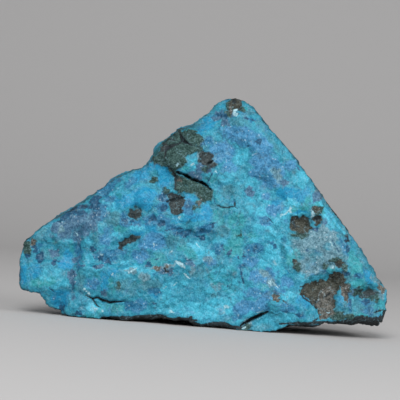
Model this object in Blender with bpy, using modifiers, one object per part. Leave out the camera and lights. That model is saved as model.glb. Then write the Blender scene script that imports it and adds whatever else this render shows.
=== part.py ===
"""A hand-sized piece of chrysocolla: one broken block of blue-green mineral, standing on its lowest lumps.

The shape is laid out in millimetres on the broken front face: u runs right from the left tip, v runs up
from the lowest point, and w runs back into the stone. The block is then turned until its two front lumps
are level, cut flat where it meets the ground, and set with its box centred over the origin.
Metres, +Z up, front to -Y.
"""

import math

import bmesh
import bpy
import numpy as np
from mathutils import Vector, noise
from mathutils.kdtree import KDTree

MM = 0.001
NAME = "chrysocolla"

# Overall size of the stone.
FACE_WIDTH = 140.1
FACE_HEIGHT = 89.3
APEX_U = 82.0
BASE_THICKNESS = 45.0
APEX_THICKNESS = 14.0
LEFT_TIP_THICKNESS = 16.0
RIGHT_END_THICKNESS = 26.0
FRONT_LEAN = 4.5

# The outline is measured as seen from this distance, and its rim lies a little way behind the face.
VIEW_DISTANCE = 550.0
VIEW_CENTRE = (68.8, 49.7)
RIM_DEPTH = 12.0

# The two lumps of the front edge that the stone stands on, cut flat where they meet the ground.
LEFT_FOOT = (26.8, 4.8)
RIGHT_FOOT = (88.0, 0.0)
REST_TILT = math.atan2(LEFT_FOOT[1] - RIGHT_FOOT[1], RIGHT_FOOT[0] - LEFT_FOOT[0])

# Front outline, clockwise from the left tip.
OUTLINE = [
    (0.1, 19.5), (0.4, 25), (1.2, 30), (3.2, 34), (7.5, 37.7), (10.2, 40.2), (15, 43.1), (23, 47.6),
    (30, 52.6), (35, 57), (39, 59), (45, 61.4), (47.6, 61.8), (50, 64.2), (52, 66.8), (53.5, 70.4),
    (57.5, 73.8), (62, 76.5), (66, 77.7), (70, 81.5), (73.5, 85), (77, 87.5), (80, 88.7), (82.5, 89.3),
    (84.3, 87.5), (88, 85.7), (91.5, 81.6), (95, 76.5), (97, 74.6), (103.5, 66.5), (106.6, 62.2),
    (111.8, 55.3), (117.2, 48), (122.2, 41.3), (125.2, 37.2), (130.5, 30.4), (133.2, 25),
    (135.3, 20.5), (138.6, 16.3), (140.1, 14.4), (140.4, 11), (140, 8.2), (138.6, 3.6), (136.1, 2.9),
    (133, 2.6), (126, 2.9), (118.5, 3.6), (114.6, 3.7), (112, 2.4), (101, 2.4), (98.5, 1.3),
    (92.5, 0), (88, -0.7), (84, 0.1), (80, 2.2), (72, 2.5), (68.5, 2.3), (64, 4.8), (54, 5.5),
    (40, 5.3), (34, 6.1), (30, 4.6), (26.8, 4.1), (25, 4.5), (23.2, 6), (18.5, 6.3), (13.4, 9.1),
    (11, 12.1), (10, 15), (6, 15.4), (1.8, 16.2),
]

# Break planes, each by three points (u, v, w) on it: the face, the rims bent back from it, and the back.
BREAKS = {
    "front_face": ((0, 0, 0), (FACE_WIDTH, 0, 0), (APEX_U, FACE_HEIGHT, FRONT_LEAN)),
    "front_left": ((46, 8, -0.4), (50, 56, 1.6), (3, 24, 4.6)),
    "left_tip_rim": ((5, 36, 2.6), (4, 16, 1.6), (0, 25, 5)),
    "top_left_rim": ((14.5, 38.4, 1.8), (31.5, 48.4, 2.2), (22, 47.2, 5.4)),
    "apex_rim": ((88, 80, 4.2), (99, 68, 3.4), (97, 75.5, 6.4)),
    "right_strip": ((111, 53, 2.6), (126, 27, 1.4), (133.2, 25, 6.2)),
    "right_flange": ((127, 19, 1.2), (128, 5, 0.6), (140.1, 11, 6.5)),
    "right_underside": ((124, 3.6, 0), (138.5, 5.2, 1), (131, 0, 12)),
    "back_main": (
        (40, 10, BASE_THICKNESS),
        (98, 10, BASE_THICKNESS),
        (APEX_U, FACE_HEIGHT, FRONT_LEAN + APEX_THICKNESS),
    ),
    "back_left": ((0, 25, LEFT_TIP_THICKNESS + 2), (50, 5, BASE_THICKNESS - 2), (47, 58, 24)),
    "back_right": ((FACE_WIDTH, 10, RIGHT_END_THICKNESS + 3), (98, 4, BASE_THICKNESS), (105, 62, 21)),
    "back_foot": ((20, 17, BASE_THICKNESS), (112, 14, BASE_THICKNESS), (65, 2, 34)),
    "top_left_back": ((10, 41.8, 9), (60, 77.2, 12), (39.6, 52.2, 34)),
    "top_right_back": ((88, 89.4, 11), (130, 32, 8), (101.7, 54.7, 32)),
    "right_end_back": ((141, 12, 8), (139.5, 3, 8), (136.2, 8, 24)),
    "left_tip_back": ((0, 18, 6), (0, 27, 6), (4, 23, 17)),
    "left_foot_back": ((1.8, 15.9, 8), (18.5, 6, 8), (12.8, 15.2, 28)),
}

# Shell-like scoops broken out of the back and the underside: centre (u, v, w) and half-sizes along them.
SCOOPS = {
    "back_scoop": ((74, 40, 55), (30, 22, 23)),
    "back_left_scoop": ((27, 27, 44), (19, 15, 16)),
    "back_right_scoop": ((119, 30, 43), (17, 21, 15)),
    "underside_scoop": ((62, -7, 20), (17, 11.5, 13)),
}

# Lumps and hollows of the front: centre (u, v), half-sizes, turn in degrees, and rise, negative for a hollow.
SWELLS = {
    "left_lobe": ((10.5, 20.5), (9.5, 5.8), 0, 1.9),
    "left_foot_plate": ((26, 8.5), (6.5, 4.2), -8, 1.2),
    "small_foot_plate": ((36, 9), (4.5, 2.4), 0, 0.8),
    "shoulder_block": ((61, 67.5), (10.5, 8.5), 35, 2.4),
    "block_below_shoulder": ((63, 49.5), (6, 6.5), 0, 0.9),
    "apex_knob": ((81.5, 85.5), (4.5, 4.2), 0, 1.0),
    "turquoise_lobe": ((104.5, 9), (9, 7.2), 0, 1.9),
    "turquoise_lens": ((122, 12), (2.5, 5), 0, 0.9),
    "rib_right_of_shoulder": ((77, 62), (5, 8), 20, 1.0),
    "belly": ((44, 17), (13, 6), 0, 1.0),
    "groove_over_lobe": ((21.7, 29.5), (2.2, 6), 0, -1.6),
    "slot_by_left_foot": ((15.8, 8.8), (1.6, 2.6), 0, -2.2),
    "grey_hollow": ((38.5, 41.5), (5.5, 4.5), 0, -0.8),
    "brown_pit": ((44.5, 44.5), (3.4, 3.4), 0, -1.3),
    "red_brown_pit": ((42, 34), (4.8, 2), 20, -1.0),
    "hollow_over_belly": ((66, 32), (9, 4.5), 10, -1.2),
    "apex_trough": ((78, 72), (4, 9), 25, -1.0),
    "bottom_chip": ((99, 3), (15, 4.5), 0, -1.7),
    "brown_hollow": ((115.5, 13.5), (7.5, 8), 0, -1.7),
    "charcoal_hollow": ((121, 19.5), (4, 3), 0, -1.2),
    "olive_hollow": ((108.5, 41.5), (5.5, 3.2), 15, -1.6),
    "right_end_pit": ((132.5, 14), (4.4, 2.6), 0, -2.2),
    "striped_trough": ((96, 20), (8, 5), -35, -0.9),
}
SWELL_EDGE = 1.55

# Ledges of the front: lip line left to right, rise of the ground below the lip, and how far down it fades.
LEDGES = {
    "belly_ledge": ([(22, 25.4), (30, 25), (40, 24.5), (47, 25.4), (54, 25), (59, 26.6), (66, 27)], 2.4, 13),
    "top_left_step": ([(16, 34), (26, 37), (36, 43), (44, 51), (52, 58)], 0.8, 7),
    "foot_overhang": ([(24.5, 14.6), (28, 12.3), (32, 11.5), (40, 11.5)], -1.3, 7),
    "shoulder_overhang": ([(55, 65.2), (57, 60.5), (63, 59), (70.5, 56.2), (74, 53)], -1.6, 8),
    "middle_step": ([(68, 30.5), (76, 27.5), (86, 22), (93, 16), (98, 11)], 1.1, 8),
    "upper_step": ([(76, 70), (84, 62.5), (93, 58), (101, 50)], -1.0, 9),
    "chip_step": ([(84.3, 2.6), (88, 4.6), (94.5, 7.6), (101, 7)], -0.8, 6),
}
LIP_WIDTH = 1.2
LEDGE_RUN_OUT = 5.0

# Open cracks of the front: the line, the width at its middle and the depth.
CRACKS = {
    "shoulder_foot_crack": (
        [(59.4, 60.4), (63, 59.3), (65.5, 57.7), (68.5, 56.6), (70.5, 55.8), (73.4, 53.2)],
        1.5,
        7,
    ),
    "shoulder_crack": ([(60.6, 76.6), (62.3, 72.3), (65.8, 70.1)], 0.9, 5),
    "chip_crack": ([(83.8, 1.6), (88, 4.4), (90, 5.3), (94.8, 7.6)], 1.1, 5),
}
CRACK_END_SHARE = 0.5

# Roughness of the broken surface: size of the break facets, their steepest slope and their seed.
FACETS = [(18.0, 0.14, 3), (8.5, 0.17, 11), (4.2, 0.18, 29)]
FRONT_SHARE = 0.6
FACET_EDGE = 0.06
FACETS_MET = 4
WAVE_LENGTH = 26.0
WAVE_RISE = 0.9
WAVE_OCTAVES = 3

# The outline keeps its measured shape for this far behind the face, and the roughness grows in after it.
STEADY_DEPTH = 7.0
GROW_DEPTH = 8.0

# Making of the solid.
ROUGH_BLOCK_DEPTH = 54.0
FRONT_STOCK = 4.0
INSIDE = (70.0, 30.0, 20.0)
SLAB = 400.0
VOXEL = 1.15
TRIANGLES = 9300

STONE_COLOUR = (0.045, 0.285, 0.40, 1.0)
STONE_ROUGHNESS = 0.55


def clear_scene():
    for old in list(bpy.data.objects):
        bpy.data.objects.remove(old, do_unlink=True)


def new_collection(name):
    made = bpy.data.collections.new(name)
    bpy.context.scene.collection.children.link(made)
    return made


def face_point(u, v, w):
    """A place on or behind the front face, in metres, before the stone is stood up."""
    return Vector((u * MM, w * MM, v * MM))


def face_lean(v):
    """How far back the front face lies at a height, in millimetres."""
    return FRONT_LEAN * v / FACE_HEIGHT


def baked_mesh(obj, name):
    """The object's mesh as its modifiers leave it, in the object's own space."""
    bpy.context.view_layer.update()
    graph = bpy.context.evaluated_depsgraph_get()
    mesh = bpy.data.meshes.new_from_object(obj.evaluated_get(graph), depsgraph=graph)
    mesh.name = name
    return mesh


def triangle_count(obj):
    """Triangles of the object as its modifiers leave it."""
    measured = baked_mesh(obj, "measured")
    measured.calc_loop_triangles()
    count = len(measured.loop_triangles)
    bpy.data.meshes.remove(measured)
    return count


def cut_away(obj, cutter):
    cut = obj.modifiers.new(cutter.name, "BOOLEAN")
    cut.operation = "DIFFERENCE"
    cut.solver = "EXACT"
    cut.object = cutter


def add_skin(obj):
    """One even, closed skin over the object's outside."""
    skin = obj.modifiers.new("skin", "REMESH")
    skin.mode = "VOXEL"
    skin.voxel_size = VOXEL * MM


def as_cutter(obj, name, cutters):
    for holder in list(obj.users_collection):
        holder.objects.unlink(obj)
    cutters.objects.link(obj)
    obj.name = name
    obj.hide_render = True
    obj.display_type = "WIRE"
    return obj


def slab_cutter(name, corners, cutters):
    """A big block with one face in the plane through three points, on the side away from the stone."""
    a, b, c = (face_point(*corner) for corner in corners)
    outward = (b - a).cross(c - a).normalized()
    if outward.dot(face_point(*INSIDE) - a) > 0:
        outward.negate()
    bpy.ops.mesh.primitive_cube_add(size=SLAB * MM)
    slab = bpy.context.object
    slab.rotation_euler = outward.to_track_quat("Z", "Y").to_euler()
    slab.location = a + outward * (SLAB * MM / 2)
    return as_cutter(slab, name, cutters)


def scoop_cutter(name, centre, half_sizes, cutters):
    """An egg-shaped cutter."""
    bpy.ops.mesh.primitive_ico_sphere_add(subdivisions=4, radius=1.0, location=face_point(*centre))
    scoop = bpy.context.object
    scoop.scale = face_point(*half_sizes)
    return as_cutter(scoop, name, cutters)


def ground_cutter(cutters):
    """Everything below the surface that the stone stands on."""
    bpy.ops.mesh.primitive_cube_add(size=SLAB * MM, location=(0, 0, -SLAB / 2 * MM))
    return as_cutter(bpy.context.object, "ground", cutters)


def flat_curve(name, points, closed):
    """A flat curve in the plane of the front face, from points in u and v."""
    curve = bpy.data.curves.new(name, "CURVE")
    curve.dimensions = "2D"
    line = curve.splines.new("POLY")
    line.points.add(len(points) - 1)
    for spot, (u, v) in zip(line.points, points):
        spot.co = (u * MM, v * MM, 0, 1)
    line.use_cyclic_u = closed
    holder = bpy.data.objects.new(name, curve)
    holder.rotation_euler = (math.pi / 2, 0, 0)
    bpy.context.scene.collection.objects.link(holder)
    return holder


def mesh_from_curve(curve_object, name):
    """The curve's solid as a mesh object in the same place, with its caps welded on."""
    mesh = baked_mesh(curve_object, name)
    solid = bpy.data.objects.new(name, mesh)
    solid.matrix_world = curve_object.matrix_world.copy()
    bpy.context.scene.collection.objects.link(solid)
    bpy.data.objects.remove(curve_object, do_unlink=True)
    work = bmesh.new()
    work.from_mesh(mesh)
    bmesh.ops.remove_doubles(work, verts=work.verts, dist=1e-6)
    bmesh.ops.recalc_face_normals(work, faces=work.faces)
    work.to_mesh(mesh)
    work.free()
    return solid


def crack_cutter(name, line, width, depth, cutters):
    """A blade along the crack's line: diamond-shaped in section, widest in the middle of its run."""
    blade = flat_curve(name, line, closed=False)
    middle_v = sum(v for u, v in line) / len(line)
    blade.location = face_point(0, 0, face_lean(middle_v))
    diamond = [(width / 2, 0), (0, depth), (-width / 2, 0), (0, -depth)]
    section = flat_curve(name + "_section", diamond, closed=True)
    blade.data.bevel_mode = "OBJECT"
    blade.data.bevel_object = section
    blade.data.use_fill_caps = True
    spots = blade.data.splines[0].points
    for index, spot in enumerate(spots):
        swell = math.sin(math.pi * index / (len(spots) - 1))
        spot.radius = CRACK_END_SHARE + (1 - CRACK_END_SHARE) * swell
    solid = mesh_from_curve(blade, name)
    bpy.data.objects.remove(section, do_unlink=True)
    return as_cutter(solid, name, cutters)


def rim_outline():
    """The outline at its true size: what lies behind the face is larger than it looks."""
    growth = 1 + RIM_DEPTH / VIEW_DISTANCE
    centre_u, centre_v = VIEW_CENTRE
    return [(centre_u + (u - centre_u) * growth, centre_v + (v - centre_v) * growth) for u, v in OUTLINE]


def rough_block(cutters):
    """The outline extruded to full depth, broken off along its planes and scoops, as one closed skin."""
    outline = flat_curve("outline", rim_outline(), closed=True)
    outline.data.fill_mode = "BOTH"
    outline.data.extrude = ROUGH_BLOCK_DEPTH / 2 * MM
    outline.location = face_point(0, 0, ROUGH_BLOCK_DEPTH / 2 - FRONT_STOCK)
    block = mesh_from_curve(outline, "rough_block")
    for name, corners in BREAKS.items():
        cut_away(block, slab_cutter(name, corners, cutters))
    for name, (centre, half_sizes) in SCOOPS.items():
        cut_away(block, scoop_cutter(name, centre, half_sizes, cutters))
    add_skin(block)
    return block


def smooth_step(value):
    value = np.clip(value, 0.0, 1.0)
    return value * value * (3.0 - 2.0 * value)


def facet_height(points, size, slope, seed):
    """Height of a surface broken into small planes, each with a slope and a step of its own."""
    random = np.random.default_rng(seed)
    low = points.min(axis=0) - size
    high = points.max(axis=0) + size
    count = int(np.prod((high - low) / size))
    centres = random.uniform(low, high, (count, 3))
    slopes = random.uniform(-slope, slope, (count, 3))
    steps = random.uniform(-slope, slope, count) * size / 2
    tree = KDTree(count)
    for index, centre in enumerate(centres):
        tree.insert(centre, index)
    tree.balance()
    heights = np.empty(len(points))
    for place, point in enumerate(points):
        met = tree.find_n(point, FACETS_MET)
        indices = [index for _, index, _ in met]
        gaps = np.array([distance - met[0][2] for _, _, distance in met])
        weights = np.exp(-gaps / (size * FACET_EDGE))
        planes = ((point - centres[indices]) * slopes[indices]).sum(axis=1) + steps[indices]
        heights[place] = (weights * planes).sum() / weights.sum()
    return heights


def swell_height(u, v):
    """Rise of the front's lumps and hollows, flat over the middle of each and rounded at its edge."""
    total = np.zeros(len(u))
    for (centre_u, centre_v), (half_width, half_height), turn, rise in SWELLS.values():
        along = math.radians(turn)
        du = u - centre_u
        dv = v - centre_v
        across = (du * math.cos(along) + dv * math.sin(along)) / half_width
        up = (dv * math.cos(along) - du * math.sin(along)) / half_height
        total += rise * smooth_step(SWELL_EDGE - np.hypot(across, up))
    return total


def below_line(u, v, line):
    """Distance from a line that runs left to right, above zero below it, and how far past its ends it is."""
    nearest = np.full(len(u), np.inf)
    signed = np.zeros(len(u))
    beyond = np.zeros(len(u))
    for (start_u, start_v), (end_u, end_v) in zip(line, line[1:]):
        length = math.hypot(end_u - start_u, end_v - start_v)
        step_u, step_v = (end_u - start_u) / length, (end_v - start_v) / length
        along = (u - start_u) * step_u + (v - start_v) * step_v
        across = (u - start_u) * step_v - (v - start_v) * step_u
        past = along - np.clip(along, 0, length)
        distance = np.hypot(past, across)
        closer = distance < nearest
        nearest = np.where(closer, distance, nearest)
        signed = np.where(closer, np.sign(across) * distance, signed)
        beyond = np.where(closer, np.abs(past), beyond)
    outside = (u < line[0][0]) | (u > line[-1][0])
    return signed, np.where(outside, beyond, 0)


def ledge_height(u, v):
    """Rise below each ledge's lip, fading downwards and towards the ends of the lip."""
    total = np.zeros(len(u))
    for line, rise, fade in LEDGES.values():
        below, beyond = below_line(u, v, line)
        lip = smooth_step(below / LIP_WIDTH + 0.5)
        total += rise * lip * np.exp(-np.maximum(below, 0) / fade) * smooth_step(1 - beyond / LEDGE_RUN_OUT)
    return total


def roughen(mesh):
    """Moves the skin's points to the lumps, ledges and break facets of the stone."""
    places = np.empty(len(mesh.vertices) * 3)
    normals = np.empty(len(mesh.vertices) * 3)
    mesh.vertices.foreach_get("co", places)
    mesh.vertices.foreach_get("normal", normals)
    points = places.reshape(-1, 3) / MM
    normals = normals.reshape(-1, 3)
    u, w, v = points.T

    rise = np.array([noise.fractal(Vector(point) / WAVE_LENGTH, 1, 2, WAVE_OCTAVES) for point in points])
    rise *= WAVE_RISE
    for size, slope, seed in FACETS:
        rise += facet_height(points, size, slope, seed)
    facing_front = smooth_step((-normals[:, 1] - 0.25) / 0.5)
    rise *= 1 - (1 - FRONT_SHARE) * facing_front
    moved = normals * rise[:, None]
    sideways = smooth_step((w - face_lean(v) - STEADY_DEPTH) / GROW_DEPTH)
    moved[:, 0] *= sideways
    moved[:, 2] *= sideways
    moved[:, 1] -= facing_front * (swell_height(u, v) + ledge_height(u, v))
    mesh.vertices.foreach_set("co", ((points + moved) * MM).ravel())
    mesh.update()


def stone_material():
    material = bpy.data.materials.new("blue_green_chrysocolla")
    material.use_nodes = True
    shader = material.node_tree.nodes["Principled BSDF"]
    shader.inputs["Base Color"].default_value = STONE_COLOUR
    shader.inputs["Roughness"].default_value = STONE_ROUGHNESS
    shader.inputs["Metallic"].default_value = 0.0
    material.diffuse_color = STONE_COLOUR
    return material


def stand_up(stone):
    """Turns the stone until its front lumps are level, and sets its box centred over the origin."""
    stone.rotation_euler = (0, -REST_TILT, 0)
    bpy.context.view_layer.update()
    foot = stone.matrix_world @ face_point(*RIGHT_FOOT, 0)
    measured = baked_mesh(stone, "measured")
    corners = np.array([stone.matrix_world @ spot.co for spot in measured.vertices])
    bpy.data.meshes.remove(measured)
    middle = (corners.min(axis=0) + corners.max(axis=0)) / 2
    stone.location = (-middle[0], -middle[1], -foot.z)


def build():
    clear_scene()
    stones = new_collection(NAME)
    cutters = new_collection("cutters")
    block = rough_block(cutters)
    skin = baked_mesh(block, NAME)
    skin.transform(block.matrix_world)
    bpy.data.objects.remove(block, do_unlink=True)
    roughen(skin)
    skin.materials.clear()
    skin.materials.append(stone_material())

    stone = bpy.data.objects.new(NAME, skin)
    stones.objects.link(stone)
    add_skin(stone)
    share = TRIANGLES / triangle_count(stone)
    fewer = stone.modifiers.new("fewer_triangles", "DECIMATE")
    fewer.ratio = share
    for name, (line, width, depth) in CRACKS.items():
        blade = crack_cutter(name, line, width, depth, cutters)
        blade.parent = stone
        cut_away(stone, blade)
    stand_up(stone)
    cut_away(stone, ground_cutter(cutters))


if __name__ == "__main__":
    build()
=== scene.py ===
"""The look of a hand-sized piece of chrysocolla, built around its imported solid.

Places on the stone are millimetres on its broken front face: u runs right from the left tip, v runs up from
the lowest point, and w runs back into the stone. The frame is in metres, +Z up, with the front face to -Y.
"""

import math
from collections import namedtuple

import bpy
import numpy as np
from bpy.props import FloatProperty, FloatVectorProperty, IntProperty, PointerProperty
from mathutils import Matrix, Vector, noise
from mathutils.kdtree import KDTree


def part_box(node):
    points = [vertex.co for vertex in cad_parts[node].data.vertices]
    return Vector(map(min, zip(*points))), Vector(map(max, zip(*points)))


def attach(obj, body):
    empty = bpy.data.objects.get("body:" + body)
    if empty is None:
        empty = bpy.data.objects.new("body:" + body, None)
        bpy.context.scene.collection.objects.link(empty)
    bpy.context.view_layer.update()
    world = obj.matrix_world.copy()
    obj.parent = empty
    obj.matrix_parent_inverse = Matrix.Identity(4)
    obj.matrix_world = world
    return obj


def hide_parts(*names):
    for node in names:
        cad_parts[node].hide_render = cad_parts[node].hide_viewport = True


bl_info = {
    "name": "Chrysocolla hand specimen",
    "version": (1, 0, 0),
    "blender": (4, 5, 0),
    "location": "View3D > Sidebar > Chrysocolla",
    "description": "Builds the surface of a piece of chrysocolla and a plain stage for it",
    "category": "Object",
}

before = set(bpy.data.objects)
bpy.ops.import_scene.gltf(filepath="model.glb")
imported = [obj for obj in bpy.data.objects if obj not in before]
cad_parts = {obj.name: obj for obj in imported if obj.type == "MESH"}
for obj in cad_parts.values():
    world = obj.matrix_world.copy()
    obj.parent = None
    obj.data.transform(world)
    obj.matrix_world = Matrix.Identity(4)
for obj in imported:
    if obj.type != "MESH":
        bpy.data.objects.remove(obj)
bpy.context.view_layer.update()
NODE = "chrysocolla"
MM = 0.001

# Where the face's zero point lies in the frame, the two feet whose line turns the face, and how far back the
# face leans over its height, in millimetres.
FACE_PLACE = (-68.64, -20.85, -6.88)
LEFT_FOOT = (26.8, 4.8)
RIGHT_FOOT = (88.0, 0.0)
REST_TILT = math.atan2(LEFT_FOOT[1] - RIGHT_FOOT[1], RIGHT_FOOT[0] - LEFT_FOOT[0])
FRONT_LEAN = 4.5
FACE_HEIGHT = 89.3

# How deep behind the face the front's markings reach, and over what depth the inside of the stone takes
# over, in millimetres.
FRONT_REACH = 9.0
FRONT_FADE = 9.0

Patch = namedtuple("Patch", "u v across up strength turn", defaults=(0,))
Line = namedtuple("Line", "points width strength")
Mineral = namedtuple("Mineral", "label colour dark pale grain ragged soft roughness salt cloud")

# Minerals from the bottom layer up: colour, how many screen levels darker and paler its parts get, share of
# grain, raggedness and softness of its borders, roughness, how much is sprinkled over the front, and its
# share of the stone's back.
MINERALS = {
    "turquoise": Mineral("Turquoise ground", (41, 136, 161), 24, 20, 0.35, 0.0, 0.0, 0.5, 0.0, 1.0),
    "grey_teal": Mineral("Grey-teal", (56, 126, 144), 26, 22, 0.5, 0.35, 0.45, 0.6, 0.15, 0.35),
    "green": Mineral("Green-teal", (42, 141, 152), 22, 18, 0.3, 0.35, 0.45, 0.5, 0.15, 0.38),
    "sky": Mineral("Sky blue", (20, 134, 175), 18, 16, 0.15, 0.3, 0.42, 0.45, 0.12, 0.36),
    "pale": Mineral("Pale cyan", (62, 168, 194), 22, 20, 0.2, 0.35, 0.45, 0.45, 0.12, 0.26),
    "indigo": Mineral("Indigo grains", (58, 129, 171), 28, 26, 0.8, 0.4, 0.42, 0.5, 0.15, 0.3),
    "azure": Mineral("Deep azure grains", (36, 112, 149), 26, 24, 0.7, 0.4, 0.42, 0.5, 0.12, 0.3),
    "mauve": Mineral("Mauve-grey grains", (62, 103, 132), 28, 28, 0.8, 0.4, 0.4, 0.6, 0.08, 0.2),
    "quartz": Mineral("Quartz grains", (92, 134, 149), 34, 34, 0.8, 0.4, 0.42, 0.5, 0.08, 0.16),
    "navy": Mineral("Navy grains", (20, 76, 108), 18, 22, 0.6, 0.45, 0.35, 0.45, 0.0, 0.12),
    "matrix": Mineral("Grey-green host rock", (38, 68, 65), 30, 34, 0.4, 0.5, 0.35, 0.75, 0.0, 0.14),
    "slate": Mineral("Slate-brown stain", (50, 60, 62), 20, 26, 0.5, 0.4, 0.3, 0.8, 0.0, 0.06),
    "rust": Mineral("Brown iron stain", (60, 63, 56), 28, 34, 0.6, 0.4, 0.28, 0.8, 0.0, 0.1),
    "tan": Mineral("Tan speckled rock", (88, 88, 83), 40, 44, 0.8, 0.4, 0.3, 0.8, 0.0, 0.04),
    # Partly dark stone and partly painted shade: cracks, hollows, underside and bottom edge.
    "charcoal": Mineral("Charcoal", (34, 44, 48), 14, 14, 0.5, 0.3, 0.3, 0.7, 0.0, 0.0),
    # Partly white quartz and partly painted glints on grains that catch the light.
    "white": Mineral("White quartz", (150, 190, 202), 34, 26, 0.4, 0.25, 0.3, 0.4, 0.0, 0.0),
}

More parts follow.
